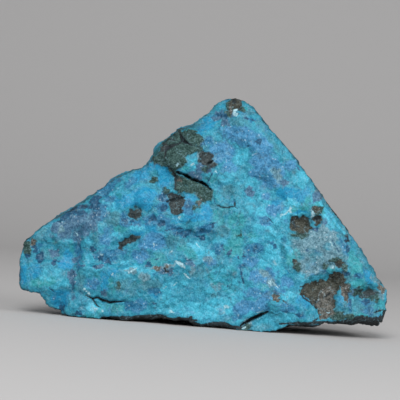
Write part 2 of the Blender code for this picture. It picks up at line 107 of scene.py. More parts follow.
# Spots of each mineral on the face: centre, half-sizes, strength and, where it has one, turn in degrees.
PATCHES = {
    "grey_teal": [
        (125, 28, 2, 2.4, 1.2), (92, 78, 3.4, 1.8, 0.9, -50), (97, 71, 4.5, 1.6, 0.9, -52),
        (103, 63.5, 3, 1.5, 0.8, -52), (71, 80.5, 5, 1.3, 0.7, 42), (8, 36, 4, 1.6, 0.9, 38),
        (45, 60.5, 6, 1.4, 0.6, 22), (122, 9, 3, 5, 1.0), (117, 49, 1, 6, 0.6, 38),
        (109, 57.5, 1, 3, 0.6, 40), (92, 1.5, 4, 1.6, 0.8, 15), (131, 27, 1.2, 6, 0.6, 30),
        (133, 9, 3, 3, 0.8), (11.5, 29, 4, 2, 0.9), (10, 37, 4, 2.5, 0.5, 40), (23.5, 18, 2, 5, 0.8),
        (35.5, 42.8, 3.6, 3.4, 1.1), (30, 36, 3, 2.5, 0.6), (42, 17, 5, 3, 0.9), (50, 17.5, 5, 2.5, 0.9),
        (58.5, 34.5, 3, 3, 1.0), (63, 33, 3.5, 1.6, 0.8), (53, 27.5, 4, 2, 0.8), (66, 28, 3, 3, 0.6, -30),
        (67.5, 22.5, 3.5, 2.5, 0.8), (74, 15, 3.5, 2, 0.7), (75.5, 28, 3, 3, 0.5), (77.5, 38, 3, 3, 0.8),
        (76, 46, 4, 2.5, 0.8), (79, 53, 3, 3, 0.8), (72, 71.5, 3.5, 3, 0.9), (78, 83.5, 2.5, 1.5, 0.9),
        (83.5, 79.5, 4, 1.8, 0.8), (87, 84, 2.5, 1.5, 0.8, -35), (104, 34, 2, 4, 0.9),
        (111, 32.5, 6.5, 5.5, 1.0), (119, 28, 4, 3, 0.9), (106, 29, 2.5, 3, 0.8),
        (112, 27.5, 4, 2.5, 0.8), (130, 8, 7, 4, 1.1), (98, 8, 2.5, 1.5, 0.3), (125, 20, 3, 2.5, 0.8),
        (124, 35.5, 3, 4, 0.8, -35), (86, 55, 4, 4, 0.4),
    ],
    "green": [
        (58, 73.3, 1.6, 1, 1.0, 40), (62.5, 75, 1.8, 1, 1.0, 20), (7.5, 18.3, 3, 1.6, 1.0),
        (12, 19.5, 3, 2, 0.8), (14, 34, 2, 1, 0.7), (19.7, 32, 1, 2.4, 0.8), (38, 38.8, 2.6, 1.3, 1.0),
        (34.5, 17, 1.8, 3.6, 0.8), (28.6, 50.5, 1, 0.8, 0.9), (38, 50.5, 1.4, 1.6, 0.7),
        (29, 8.3, 2.6, 3, 1.0, -35), (27.5, 5.6, 3.4, 0.9, 0.8), (36.5, 9, 3.6, 1.8, 1.0),
        (52.5, 27, 4, 2.6, 0.8), (66, 29.5, 3.5, 2.5, 0.9), (62.5, 31.5, 3, 1.5, 0.8, 20),
        (80, 17, 3, 2.5, 0.9), (75, 20.5, 3.5, 3.5, 0.7), (79.5, 22, 3, 3, 0.8),
        (82.5, 41.5, 3.2, 3.6, 1.0, -30), (83, 36, 2.5, 3, 0.9), (81.5, 31.5, 3.6, 3.5, 1.0),
        (90.5, 36, 4, 2.4, 0.9), (76, 43, 2.5, 3, 0.7), (107.5, 47.5, 4.4, 2.8, 1.3),
        (104, 28.5, 3, 4, 0.8), (112.5, 47.5, 1.5, 2.5, 0.8, -30), (116, 46, 1.4, 5, 1.0, 38),
        (120, 40.5, 1.5, 2, 0.9), (117.5, 23.5, 3, 1.2, 0.9), (119.5, 5.8, 3.4, 1.2, 1.0),
        (128, 24, 2.5, 8, 0.9, 25), (129, 17.5, 3, 1.2, 1.0, -15), (137.5, 10, 2.2, 2.4, 1.0, -40),
        (126.5, 5, 1.2, 0.8, 1.1), (130, 6, 4, 1, 0.8), (94, 18, 2, 2, 0.7), (97.5, 16, 2, 1.2, 0.6),
        (73.5, 58, 2.5, 2, 0.7), (62.5, 75.5, 3, 1.2, 1.1, 15), (55, 70.5, 1.8, 3, 1.1, -35),
        (52, 66.5, 1, 2, 1.0, -20), (85, 84.5, 2, 1.2, 0.8), (68.5, 50, 1.2, 1.4, 1.0),
        (62.5, 62.3, 2, 1.4, 1.0), (75, 51, 2, 2, 0.6), (47, 21, 3, 2.5, 0.6),
    ],
    "sky": [
        (1.5, 21.5, 1.6, 3.6, 1.0), (6, 22.5, 4, 3, 0.6), (17.5, 25.2, 3, 1.6, 1.1),
        (18.5, 28, 2, 3, 0.8), (15.5, 12.5, 3.5, 4, 0.9), (32.5, 19, 1.5, 4, 0.9),
        (36, 22.6, 2.5, 2, 0.8), (44, 50.5, 6, 3.4, 1.0, 20), (48, 48.5, 3.5, 2.6, 1.0),
        (50.5, 52, 2.5, 2, 0.9), (55.3, 58, 2.7, 3.8, 1.3), (54.5, 61.8, 3, 1.4, 1.0),
        (46, 58.5, 3.6, 2.4, 1.0, 20), (49, 61.5, 3, 1.6, 0.9, 20), (65, 50.5, 2.2, 2.4, 0.7),
        (64.5, 46.5, 1.8, 1.8, 1.0), (71.5, 45, 2.2, 3.6, 1.2), (66, 43.5, 4, 1.6, 1.0),
        (72, 79, 6, 2.2, 0.8, 42), (78, 86, 2.6, 1.4, 0.4, 35), (76, 69.5, 4, 2, 0.6),
        (50, 39.5, 3, 2.5, 0.7), (53, 36.5, 3, 2, 0.6), (45.5, 38, 3, 2.5, 0.9), (36, 49, 3, 2.5, 0.6),
        (52, 13.5, 2, 2, 0.7), (101, 52.5, 3.6, 2.2, 1.1), (105, 51, 4, 3, 0.8), (99.5, 48, 4, 2, 0.9),
        (109, 53.5, 2.5, 2, 0.8), (107, 45, 3, 1, 0.9), (101.5, 18.5, 2.2, 1.6, 1.1),
        (100.5, 22.5, 1.6, 2, 0.9), (108, 11, 3.5, 3, 0.6, -35), (118.5, 44, 1.4, 3.5, 0.8, 38),
        (133, 20.8, 1.6, 3.4, 1.0, 25), (122, 11.5, 1.6, 3.4, 0.6, -15), (61, 42.5, 3, 1.6, 0.7),
        (76, 50.5, 2, 1.2, 0.4),
    ],
    "pale": [
        # The spots at (107, 44) and (91.5, 8.4) are painted light that brightens the shade of a ledge and of
        # the chip crack.
        (73.3, 16, 2.4, 1.8, 1.1), (95.3, 36.3, 2.2, 1.6, 1.3), (107, 44, 2.6, 1, 1.2),
        (85, 14.9, 2.4, 1.6, 1.1), (92.2, 24.8, 2.2, 1.8, 1.2), (96, 25.9, 2.4, 2.2, 1.3),
        (99, 22.5, 2.2, 1.8, 1.1), (97.5, 34.6, 2.2, 2, 1.2), (83.5, 18.2, 2.4, 2, 0.9),
        (91.5, 8.4, 2, 0.9, 0.8, 20), (76.5, 34, 3, 2.2, 0.7), (54, 36.5, 2.5, 2, 0.45),
        (77.5, 21, 5, 3.6, 0.65), (28.5, 8.5, 2.4, 2.8, 0.9, -35), (80, 17, 3, 2, 0.6),
        (12.5, 21.5, 4, 3, 0.5), (16.5, 17.5, 2.4, 3.2, 0.5, -20), (26.5, 34, 2.2, 1.3, 0.8),
        (27, 27.8, 2.2, 1.6, 0.7), (27.5, 22.5, 3, 1.6, 0.8, 10), (37.4, 36.6, 2.1, 1, 1.1),
        (34.3, 47.5, 2.8, 2.4, 0.8), (36.5, 52.3, 1.6, 1.3, 0.4), (45, 39, 3, 1.4, 0.8, -15),
        (43.5, 23.5, 4.6, 1.6, 0.9), (49, 22, 3.5, 1.8, 0.8), (57, 16.5, 3, 2.5, 0.7),
        (61.5, 18.5, 2.5, 2, 0.6), (56, 11.8, 4.5, 2.6, 0.7), (66, 8.4, 6.4, 3, 1.1),
        (72, 6.8, 5, 2.6, 1.1), (78.5, 8, 3, 2.2, 1.2), (76, 11.5, 4, 1.8, 0.9),
        (83, 13, 3.6, 2.6, 1.1, -40), (58.5, 7.8, 2.6, 1, 0.9, -10), (52.5, 8, 2, 1.5, 0.8),
        (67.5, 32, 3.6, 1.6, 1.0, -25), (70.5, 29, 3.5, 2.6, 0.9), (74, 28, 2, 2, 0.6),
        (84.8, 67, 2.4, 3.4, 1.2), (81, 64, 3, 2, 0.7), (78.5, 58.5, 3, 2, 0.7), (88, 48, 2.6, 3.6, 0.6),
        (88, 56, 2, 2.5, 0.8), (92, 44, 2.5, 2.5, 0.8), (92.5, 38.5, 3.5, 2.4, 1.0),
        (95.8, 36, 2, 2.4, 1.2), (96.5, 29.5, 3, 3, 1.1), (97, 24.5, 2.6, 2.4, 1.0),
        (92.5, 26.5, 2, 1.6, 0.8), (92, 34.5, 4, 1.4, 0.9), (102.5, 32, 1.8, 2.6, 0.8),
        (100, 17.5, 2, 1, 0.7), (102.5, 13.5, 3, 1.6, 0.9), (107, 57.5, 3, 3.2, 1.1, -40),
        (103.5, 48.5, 4, 1.6, 1.0), (112, 49.5, 1.4, 1.4, 0.8), (101, 44.5, 3, 1.3, 0.9),
        (97, 42, 2.4, 2, 0.6), (94, 48, 2, 2, 0.7), (91.5, 52.5, 1.5, 2, 0.6), (108, 21, 2.5, 2, 0.7),
        (118, 33, 1.6, 3.4, 0.45, -10), (117.5, 42, 1.2, 3.5, 0.8, 38), (128, 9.5, 2, 2, 0.3),
        (91, 2.5, 3.4, 2, 0.4, 20), (96, 5, 4, 1.6, 0.8, 20), (102, 5.5, 3, 1.2, 0.8),
        (84, 4, 2, 0.8, 0.8, 20), (86.5, 6.5, 2.8, 1, 0.8, 20), (88, 16, 3, 1.5, 0.6),
        (30.5, 23.6, 1.6, 0.8, 0.8), (104.5, 55, 2, 2, 0.4), (40.5, 25.8, 1.6, 0.8, 0.8),
        (66, 63.5, 2.4, 2, 0.8, -40), (62, 43, 1.2, 1, 0.9), (50.5, 32.6, 1, 0.8, 0.8),
        (84, 58, 3, 2, 0.5),
    ],
    "indigo": [
        (28, 18, 2.6, 2.4, 0.9), (33, 35, 3, 2.2, 0.8), (51, 34, 4.6, 3.6, 1.0), (47.5, 33, 2, 2.5, 0.8),
        (46.5, 28.5, 3.5, 2.6, 0.9), (46, 10.5, 3, 2, 0.8), (85.5, 9, 4.5, 2.6, 1.1, 15),
        (91, 9.5, 3.5, 2.6, 1.0, 15), (89, 14.5, 4, 2, 0.8), (93.5, 13, 2.5, 2.5, 0.9),
        (95, 20.5, 3, 3.6, 1.0), (89.5, 21, 3, 2.5, 0.8), (99, 16, 3, 2, 0.6),
        (101.5, 18.8, 2.4, 1.6, 0.8), (72.5, 26.5, 2.6, 2, 0.8), (88, 26.5, 3, 2.2, 1.0, 30),
        (77, 68, 5, 4, 0.9), (85, 74, 8, 3.5, 1.0, -20), (91, 71, 5, 4, 1.0, -40),
        (93, 64, 5, 5, 1.0, -40), (95.5, 57, 4, 3.5, 0.9), (98.5, 61.5, 3.5, 3, 0.9, -40),
        (103, 63, 2.5, 2.5, 0.8, -50), (90, 60, 3, 3, 0.8), (80, 62, 3.5, 2.5, 0.7), (97, 46, 3, 2, 1.0),
        (94, 51.5, 2, 1.6, 0.6), (94, 41, 2, 2, 0.8), (113, 24, 3.6, 2.6, 0.9), (30, 46, 2.2, 2.5, 0.6),
        (66, 47.5, 1.5, 2, 0.5), (101, 9, 4, 2, 0.7), (107, 5.5, 3, 1.2, 0.6), (92, 77, 3, 2, 0.3, -45),
        (84, 77, 3, 1.5, 0.7),
    ],
    "azure": [
        (34.4, 50, 2.2, 1.6, 0.9), (34.4, 38, 2.2, 1.8, 0.8), (63.5, 45.5, 2, 1.6, 1.0),
        (64.3, 48.6, 1.8, 2, 0.9), (40.4, 41.5, 2.2, 2, 1.0), (44.8, 41, 2.2, 1.2, 1.0),
        (54.8, 50.5, 2, 2, 1.0), (42.3, 56.5, 3, 1.6, 0.9, 30), (33, 54, 3.6, 1.8, 1.1, 35),
        (37, 56.8, 2, 1, 0.7, 30), (6.5, 31.5, 2, 1.5, 0.9), (40.3, 43, 1.5, 3.2, 1.0),
        (33.8, 28.8, 3.6, 3, 1.1), (39, 29.5, 2.6, 2, 0.8), (30, 28.5, 1.6, 1.4, 0.8),
        (22.5, 29.5, 1.4, 5, 1.0), (31.8, 45, 2.5, 3.5, 0.9), (28.8, 43.5, 1.3, 1.6, 1.0),
        (44, 9.3, 4, 2.4, 1.1, -10), (51.5, 15.5, 3, 1.4, 0.8), (50, 42.5, 3, 2.2, 1.1, -20),
        (55, 42, 3, 2, 1.0, -20), (54, 47, 2.6, 2, 1.0), (59, 39.5, 3, 1.4, 0.8),
        (62, 37.2, 3, 1.8, 0.8, -15), (70.5, 38.5, 3.6, 2.2, 1.0, 10), (67, 36.5, 3, 1.6, 0.5),
        (65, 46.5, 1.6, 2.5, 0.8), (76, 31.5, 2.5, 2.5, 0.6), (89.5, 31.3, 3.4, 1.8, 1.1),
        (85, 24.8, 2.2, 1.4, 1.1), (87, 28, 2, 2, 0.8, -30), (84.5, 20.5, 1, 3, 0.5, -10),
        (83, 5.5, 2.6, 1.2, 0.9, 20), (94, 9, 1, 2, 0.8), (97, 32.2, 1.6, 0.8, 0.8),
        (95, 34, 2, 0.8, 0.7, -20), (93, 42, 2.4, 1.4, 1.0, -30), (94, 59, 3, 3, 0.4),
        (95, 55, 2.6, 2, 0.4), (91, 53.5, 2, 2, 0.35), (98.5, 46, 2, 1, 0.8), (106, 6.5, 2, 1, 0.8),
        (76, 67.5, 2.5, 2, 0.7), (72, 72, 2.5, 2, 0.8), (90.5, 72, 1.6, 1.6, 1.0), (86, 71, 2, 1.5, 0.7),
        (77, 82.5, 2.4, 1.6, 0.9, -20), (88, 80.5, 3, 1, 1.0, -15), (126, 14.5, 1.5, 1, 0.7),
        (125.3, 10, 0.8, 3, 1.0), (132, 10.5, 2, 1, 0.9), (133, 7.6, 3, 1.6, 0.9),
        (129, 20.8, 2.5, 0.9, 0.8, -15), (124, 30.5, 1.6, 3, 0.8), (122, 33, 1, 3, 0.7, -15),
        (114, 30.5, 1.5, 1.5, 0.6), (13.5, 13, 1, 0.9, 0.9), (16, 9, 1, 1.6, 1.0),
    ],
    "mauve": [
        (115.8, 41, 1.3, 1.7, 0.65), (14, 39.5, 2.6, 1.8, 1.0, 35), (21, 41.5, 6, 2.6, 1.0, 25),
        (26, 39.5, 4, 3.4, 0.8, 20), (17, 37.5, 3.4, 2.4, 0.9, 20), (24, 42.5, 2, 1.4, 1.2),
        (22.5, 35, 2, 1.5, 0.7), (13, 29.5, 2, 1.4, 0.9), (20.3, 20.5, 1.4, 3.4, 1.1),
        (20.6, 14.5, 1.1, 3, 0.6), (30.5, 24.7, 1.6, 0.7, 1.1), (24.5, 25, 1.6, 0.7, 1.0),
        (32.5, 14.6, 1.4, 1, 1.0), (21.5, 27, 1.3, 2, 0.8), (69, 61.5, 1.8, 2, 1.0),
        (68, 73.5, 2, 1.6, 0.8, -30), (52.2, 64, 2, 1.4, 1.1, -25), (66.8, 59, 2.6, 1.1, 1.1, -25),
        (78, 82, 5, 1.8, 0.75, 10), (78.5, 79.5, 2, 1.4, 1.0), (75.5, 83, 1.4, 1, 0.9),
        (87.7, 52.8, 2, 1.5, 1.0, -30), (64.5, 26.5, 2.4, 1.6, 0.9, -40), (56, 23.2, 3, 1.6, 0.9, -15),
        (98, 14.5, 2, 1, 0.8, -30), (84, 16.8, 2, 1, 0.5, -20), (109.5, 33.5, 1.6, 2.6, 0.9),
        (113.8, 51.5, 1.8, 3.4, 1.1, -38), (101, 56.5, 2.2, 1.6, 0.9), (127, 14.5, 2.5, 1.4, 0.9, -10),
    ],
    "quartz": [
        (136.3, 18.3, 1.1, 2, 0.8, 30), (112.5, 34.5, 4.6, 3.8, 1.1), (114, 31, 3, 1.6, 0.8),
        (115.5, 38, 2.5, 2, 0.9), (119, 35, 2.4, 3, 0.8, -15), (16, 38.5, 1.6, 1.2, 0.8),
        (43, 22.8, 2.6, 1.4, 0.8), (48, 21, 3, 1.6, 0.7), (57, 25, 2.6, 1.2, 1.1, 20),
        (52.5, 24, 2, 1, 1.0), (66, 23, 1.5, 2, 0.8, -40), (72, 27, 2, 1.6, 0.7),
        (86.5, 2.8, 2.6, 1.6, 0.7, 15), (75, 17, 3, 1.4, 0.7), (82, 21.5, 1.4, 2, 0.6),
        (93, 22, 2.4, 1.6, 0.8, -30), (96, 18.5, 2, 1.6, 0.8, -40), (113, 53.3, 1, 1.2, 0.9, -38),
        (118, 28.5, 3, 2, 0.9), (98, 59, 2.4, 2.4, 0.7), (111.5, 44.5, 1, 1.4, 0.6, 20),
        (137, 13.5, 2.4, 0.8, 1.0, -40), (69, 66.5, 1.6, 2.4, 0.7), (134.5, 20.5, 0.5, 1.4, 0.9, 25),
    ],
    "navy": [
        (64.3, 48, 1.5, 1.8, 0.65), (40.4, 42.3, 1.8, 1.6, 0.7), (54.8, 50.2, 1.5, 1.6, 0.75),
        (29, 43.3, 1.8, 1.8, 0.7), (7.9, 27.8, 2, 1.7, 1.1), (28.7, 47.6, 2.4, 1.5, 1.1, 30),
        (20, 45, 6.5, 1.3, 1.0, 27), (22.8, 44.8, 1.8, 1.3, 1.1), (28.3, 49.6, 2.8, 1.7, 1.1, 30),
        (15.5, 42.3, 2.4, 0.8, 0.9, 25), (19.2, 43, 0.6, 0.6, 1.0), (28.8, 43, 1, 0.8, 1.0),
        (8.2, 28.3, 1.3, 1.1, 1.2), (13.8, 26.4, 0.9, 0.8, 1.1), (5.6, 31, 0.8, 1.1, 1.1),
        (2.6, 28.7, 0.9, 1.6, 1.0), (28, 31.3, 1, 1, 1.2), (34, 26.1, 1.1, 0.8, 1.1, -20),
        (31.5, 27.8, 0.7, 1.4, 0.9, -20), (24.4, 24.9, 1, 0.6, 1.0), (30.2, 24.6, 0.7, 0.5, 1.0),
        (43, 41.4, 1, 0.8, 1.0), (15.8, 8.5, 0.9, 1.5, 1.1, -15), (22.3, 6.8, 1.3, 0.6, 1.1),
        (51, 42.6, 2, 1.4, 1.0, -20), (54.3, 41, 1.4, 1.1, 1.0, -30), (54.8, 46.5, 1.2, 1.4, 0.8),
        (61, 37.3, 1.2, 1, 0.7), (63.8, 36.9, 1.8, 1.7, 0.7, -30), (70.7, 38, 2.4, 1.3, 0.55, 15),
        (69, 35.5, 1.6, 0.6, 1.0), (73.3, 39.6, 0.8, 0.6, 1.0), (56.5, 49, 1.6, 0.7, 1.0),
        (90, 31.2, 1.4, 0.9, 0.7), (84.7, 24.8, 1.2, 0.7, 0.8), (85, 19, 0.5, 1.4, 0.5, -15),
        (79, 17.1, 0.5, 0.5, 1.1), (80.2, 29.5, 0.5, 1, 1.0), (85.4, 29.3, 0.5, 1.2, 1.0),
        (83.7, 28.2, 0.6, 0.6, 0.9), (77.5, 31.8, 0.8, 0.7, 0.8), (52.2, 10.4, 0.9, 0.6, 1.1, -15),
        (52.5, 27.6, 1.2, 0.6, 0.9), (49.5, 25.4, 1, 0.8, 0.9), (69, 71.4, 1, 1.4, 0.9),
        (91, 71.6, 1, 0.8, 1.0), (86.5, 81, 1.4, 0.5, 1.0, -10), (89.5, 79.7, 1.2, 0.5, 1.0, -15),
        (76.2, 82.3, 1.2, 1, 1.0), (78.5, 81.3, 1.2, 0.7, 1.0, -20), (106.2, 61.8, 0.8, 0.7, 1.1, -45),
        (94.5, 41.8, 1, 0.5, 0.6, -35), (97, 32.3, 1.2, 0.6, 0.8), (105.5, 6.3, 1.3, 0.7, 0.9),
        (112.3, 38.6, 1.4, 0.9, 1.0), (109.7, 30.5, 1, 0.7, 0.9), (124.7, 34.5, 0.8, 1.6, 1.1),
        (125.2, 31, 0.6, 1, 1.0), (124, 21.8, 1.4, 0.8, 1.0), (128, 20.7, 1.2, 0.4, 1.0, -10),
        (125.6, 10.5, 0.5, 2.4, 1.0), (131.8, 11, 1.4, 0.8, 1.0), (72.3, 61.5, 1.4, 1.6, 0.8),
    ],
    "matrix": [
        (123.4, 24, 1.6, 1.3, 0.7), (121, 5.8, 4, 1.6, 1.1), (124.8, 5.6, 2.6, 1.2, 1.0),
        (135.3, 12.3, 2, 1.5, 0.8), (2.8, 31.5, 1.6, 3, 1.1, 10), (82, 85.5, 3, 2.2, 1.0, -20),
        (52.5, 64.7, 2, 1.4, 1.1), (86.5, 1.5, 3, 1.2, 0.6, 15), (68, 73.5, 1.6, 1.6, 0.8),
        (65.5, 75, 1.8, 1.2, 0.7), (68.8, 69, 1.2, 1.4, 0.9), (71, 62, 1.5, 2.2, 0.7),
        (56, 53, 1.6, 1.8, 0.8), (67.5, 47.8, 2.6, 0.9, 0.8, 35), (84, 37, 1, 2, 0.7, -35),
        (84.5, 84.2, 1.6, 1.4, 0.9, -30), (80, 82.5, 1.2, 1.5, 1.0), (106.5, 36.5, 3.4, 1, 0.9),
        (106, 24.5, 1.8, 1.6, 0.8), (115.5, 52.5, 1, 2.5, 0.9, -38), (120, 27, 2.4, 0.9, 0.9),
        (116.5, 24.5, 1.4, 1.2, 0.6), (131.5, 14.3, 4.8, 2.2, 0.9, -8), (125.5, 17, 0.8, 1.8, 0.9),
        (113.5, 45.5, 1.6, 2, 0.8, -30), (37.7, 17.5, 1.3, 1.3, 0.9), (51.2, 57.6, 1.4, 1.3, 0.9),
    ],
    "slate": [
        (73.6, 64.2, 1.6, 2, 0.7), (133, 14, 2.4, 1.3, 0.9, -8), (71, 65.4, 2.7, 2.5, 1.1),
        (55.5, 69.5, 1.4, 2.6, 0.7, -35),
    ],
    "tan": [
        (5.3, 33.6, 1.4, 1.3, 0.8, 30), (138, 15.8, 1.5, 2.4, 0.6, 30), (123.6, 15.5, 1.8, 2.6, 1.1),
        (124.5, 12.5, 0.8, 1.6, 0.8), (97.3, 12.8, 1.8, 0.7, 0.9, -40), (60.8, 57.2, 0.7, 1.2, 0.8),
        (80.7, 84, 0.9, 1.6, 1.0), (69, 50.5, 1.2, 2.8, 0.6, -15), (52.5, 24, 1.8, 0.8, 0.7),
        (57.5, 25.4, 1.6, 0.6, 0.8, 25),
    ],
    "rust": [
        (82.5, 87, 2.4, 2.2, 1.2), (84, 85.5, 0.9, 1.8, 1.0, -20), (107, 39.8, 3.8, 2.7, 1.2),
        (105, 42, 1.8, 1.2, 1.1, 30), (109, 42.6, 1.4, 1, 1.1), (112.8, 42, 2, 1.6, 1.0),
        (112.5, 46, 1.5, 1.1, 0.9), (104.8, 26.6, 1.1, 1.6, 0.9), (104, 24.2, 0.9, 1.2, 0.6),
        (121.8, 25.6, 1.7, 1.5, 1.0), (97.2, 12.7, 1.5, 0.5, 0.8, -40),
    ],
    "charcoal": [
        # Partly dark stone and partly painted shade: along the bottom edge, in hollows and beside the
        # cracks.
        (62.5, 4.8, 3, 0.6, 0.9), (131.5, 4.8, 4, 1.2, 1.0), (64, 4.3, 4, 0.9, 1.1),
        (39.7, 4.9, 3, 0.9, 1.1), (133, 7.4, 5, 2.2, 0.36), (64.5, 58.3, 1.5, 0.8, 0.42, -20),
        (64, 74, 3, 1.5, 0.4), (58.5, 72, 2.5, 1.4, 0.45, 40), (68.5, 70.5, 1.6, 2.4, 0.4),
        (53.5, 69, 1.4, 3, 0.4, -30), (60, 56, 1.3, 4, 0.35), (72.5, 62, 2, 2.5, 0.4),
        (22, 45.5, 7, 1, 0.4, 28), (121, 20.6, 2.2, 1.8, 0.35), (130.8, 12.8, 1.8, 0.9, 0.8, -15),
        (130, 15.3, 1.2, 0.6, 0.6), (125, 35, 0.7, 2, 0.8), (59.8, 51, 3, 1.2, 1.1),
        (55.7, 23.9, 1, 0.6, 1.1, -30), (56.6, 23, 0.6, 0.5, 1.0, -40), (84, 84.2, 0.6, 1.6, 0.9, -30),
        (82, 87.5, 0.8, 1.4, 0.8), (113, 42.3, 1, 1.2, 0.9), (104.3, 40.8, 0.6, 1.4, 0.9, 20),
        (104.5, 26.8, 0.6, 1, 1.0), (104, 24, 0.5, 0.8, 0.5), (121.8, 25, 1.2, 0.8, 0.9),
        (107.6, 17, 1.2, 0.8, 1.0), (113.3, 8.5, 0.5, 0.6, 1.0), (58, 70, 2.6, 0.7, 1.1, 15),
        (136, 4.8, 1.2, 0.8, 0.8), (72.5, 66.8, 1, 0.8, 0.7), (45.8, 45.6, 0.8, 0.8, 0.7),
        (39.5, 31.9, 1.4, 0.4, 0.9, 20),
    ],
    "white": [
        # White spots: partly white quartz and partly painted glints.
        (77, 7.6, 2.6, 1.5, 0.4), (96.4, 25.5, 2.2, 1.6, 0.42), (35.7, 22, 0.6, 0.6, 1.0),
        (42, 22, 0.6, 0.8, 1.0), (31.7, 7.3, 0.7, 0.5, 1.0), (28.5, 8, 1.6, 1.8, 0.5, -30),
        (25.3, 15.6, 0.8, 0.6, 1.0, -30), (26.4, 14.2, 0.7, 0.4, 1.0, -30), (21.7, 36.7, 0.5, 0.7, 1.1),
        (31.5, 28.7, 0.5, 0.5, 0.9), (51, 32.8, 0.6, 0.5, 0.8), (60.4, 63.2, 0.6, 0.6, 1.1),
        (65.8, 63, 0.8, 0.6, 0.8), (82.3, 83, 0.7, 1.2, 1.1), (61.2, 43, 0.6, 0.5, 0.8),
        (58, 7.6, 1.2, 0.4, 0.8, -30), (78.7, 9, 1.4, 1, 0.7), (103.2, 46, 0.5, 0.9, 1.1, -20),
        (99.8, 44.3, 0.5, 0.5, 0.9), (111.3, 44, 0.6, 1, 1.1, -30), (119, 24.1, 0.6, 0.5, 1.2),
        (95.6, 18.6, 0.6, 0.9, 0.8, 40), (117, 7.3, 0.6, 0.5, 0.8), (113, 22.5, 0.5, 0.6, 0.8),
        (74.8, 60.5, 0.5, 0.5, 0.8), (85.4, 1.2, 0.6, 0.5, 0.8),
    ],
}

# Areas with an outline of their own: corners in turn, how sharp the border is in millimetres, and strength.
Region = namedtuple("Region", "corners edge strength")
REGIONS = {
    "quartz": [
        Region([(104, 38), (108, 37.5), (112, 40), (116, 40), (120, 37), (123.5, 33), (124, 26),
                (120, 23.5), (114, 21), (109, 20), (105, 23), (103.5, 30)], 2.5, 0.62),
    ],
    "mauve": [
        Region([(11, 35.5), (16, 40), (22, 44), (27, 46.5), (31, 47), (32, 43), (30, 38.5), (26, 35.5),
                (21, 34.5), (16, 33)], 2.5, 0.72),
    ],
    "matrix": [
        Region([(52, 64), (53, 67.5), (54.5, 71), (57.5, 74), (60.5, 76.6), (64, 77), (67.5, 75.5),
                (69.5, 71.5), (69, 67.5), (66.5, 68.3), (63.8, 66), (62.8, 63.8), (61.5, 62), (60, 60.8),
                (58, 60.5), (56, 62.5)], 1.0, 1.1),
        Region([(58.5, 60), (60.5, 59.6), (64, 57.6), (66.5, 56.2), (69, 55.8), (71.5, 54.3),
                (73.5, 52.3), (73.3, 50.2), (70.5, 49), (67.5, 50.8), (66, 53), (63, 52.6), (60.5, 52.6),
                (58.5, 53.8), (59.5, 56.5)], 1.0, 1.1),
    ],
    "slate": [
        Region([(37.8, 31.8), (38.5, 34), (40.5, 35), (42.5, 36.6), (45, 36), (45.8, 35), (44, 33.8),
                (41.5, 33.4), (40, 31.6), (38.5, 31.2)], 0.7, 1.2),
        Region([(41.5, 46.5), (44, 46.8), (46.5, 46), (47.2, 44.5), (46, 42.5), (44, 41.8), (42.8, 43),
                (42, 44.5)], 0.9, 0.9),
        Region([(57, 48), (57, 50.3), (59.5, 51.8), (62.5, 52), (63, 50.3), (62.6, 47), (62.3, 44.3),
                (59.5, 44.2), (57.8, 45.5)], 0.8, 1.2),
    ],
    "rust": [
        Region([(107, 16.5), (107.2, 18), (109.5, 18.2), (111.5, 19), (114.5, 18.8), (117, 19),
                (118.5, 21.5), (119.5, 22.8), (121, 22.8), (123.5, 21.3), (124, 18.8), (123, 16.8),
                (121.5, 17), (120.3, 15), (120, 12), (119.5, 9), (118.5, 6.5), (116, 5), (114.5, 4.6),
                (114.3, 7), (113, 9), (111, 11), (108.5, 12.8), (107.2, 14.3)], 0.9, 1.2),
    ],
    "tan": [
        Region([(114, 13.5), (116, 16.5), (118.5, 17), (120, 15), (119.8, 10), (119.5, 6.5), (117, 5.2),
                (115, 4.6), (114.4, 7), (113.2, 9.5)], 1.2, 1.0),
    ],
    "charcoal": [
        # Painted shade, partly dark rock, on the strip of underside at the bottom right.
        Region([(122, 3.9), (125, 4.3), (128, 5.1), (133, 5.2), (135.5, 5.1), (137.5, 5.6), (139.5, 8),
                (141, 3), (137, 0), (131, -1), (126, 0), (122, 2)], 0.5, 1.3),
    ],
}

# Cracks that are both carved and darkened with painted shade: their points in turn.
SHOULDER_FOOT_CRACK = [(60, 60.2), (63, 59.3), (65.5, 57.6), (68.5, 56.6), (70.5, 55.8), (73, 53.5)]
SHOULDER_CRACK = [(61, 75.5), (62.3, 72.3), (65.5, 70.3)]
SHORT_CRACK = [(71.3, 63), (73.7, 64.7)]
PIT_CRACK = [(56, 49), (59.5, 50), (63, 50.8)]
CHIP_CRACK = [(84.3, 2.2), (88, 4.4), (90, 5.3), (94.4, 7.4)]
MIDDLE_CRACK = [(75, 47.8), (77.5, 46.8), (79, 46.8), (82, 47.3), (83, 46.5)]
FOOT_CRACK = [(28, 12.3), (29.5, 10), (31, 9)]

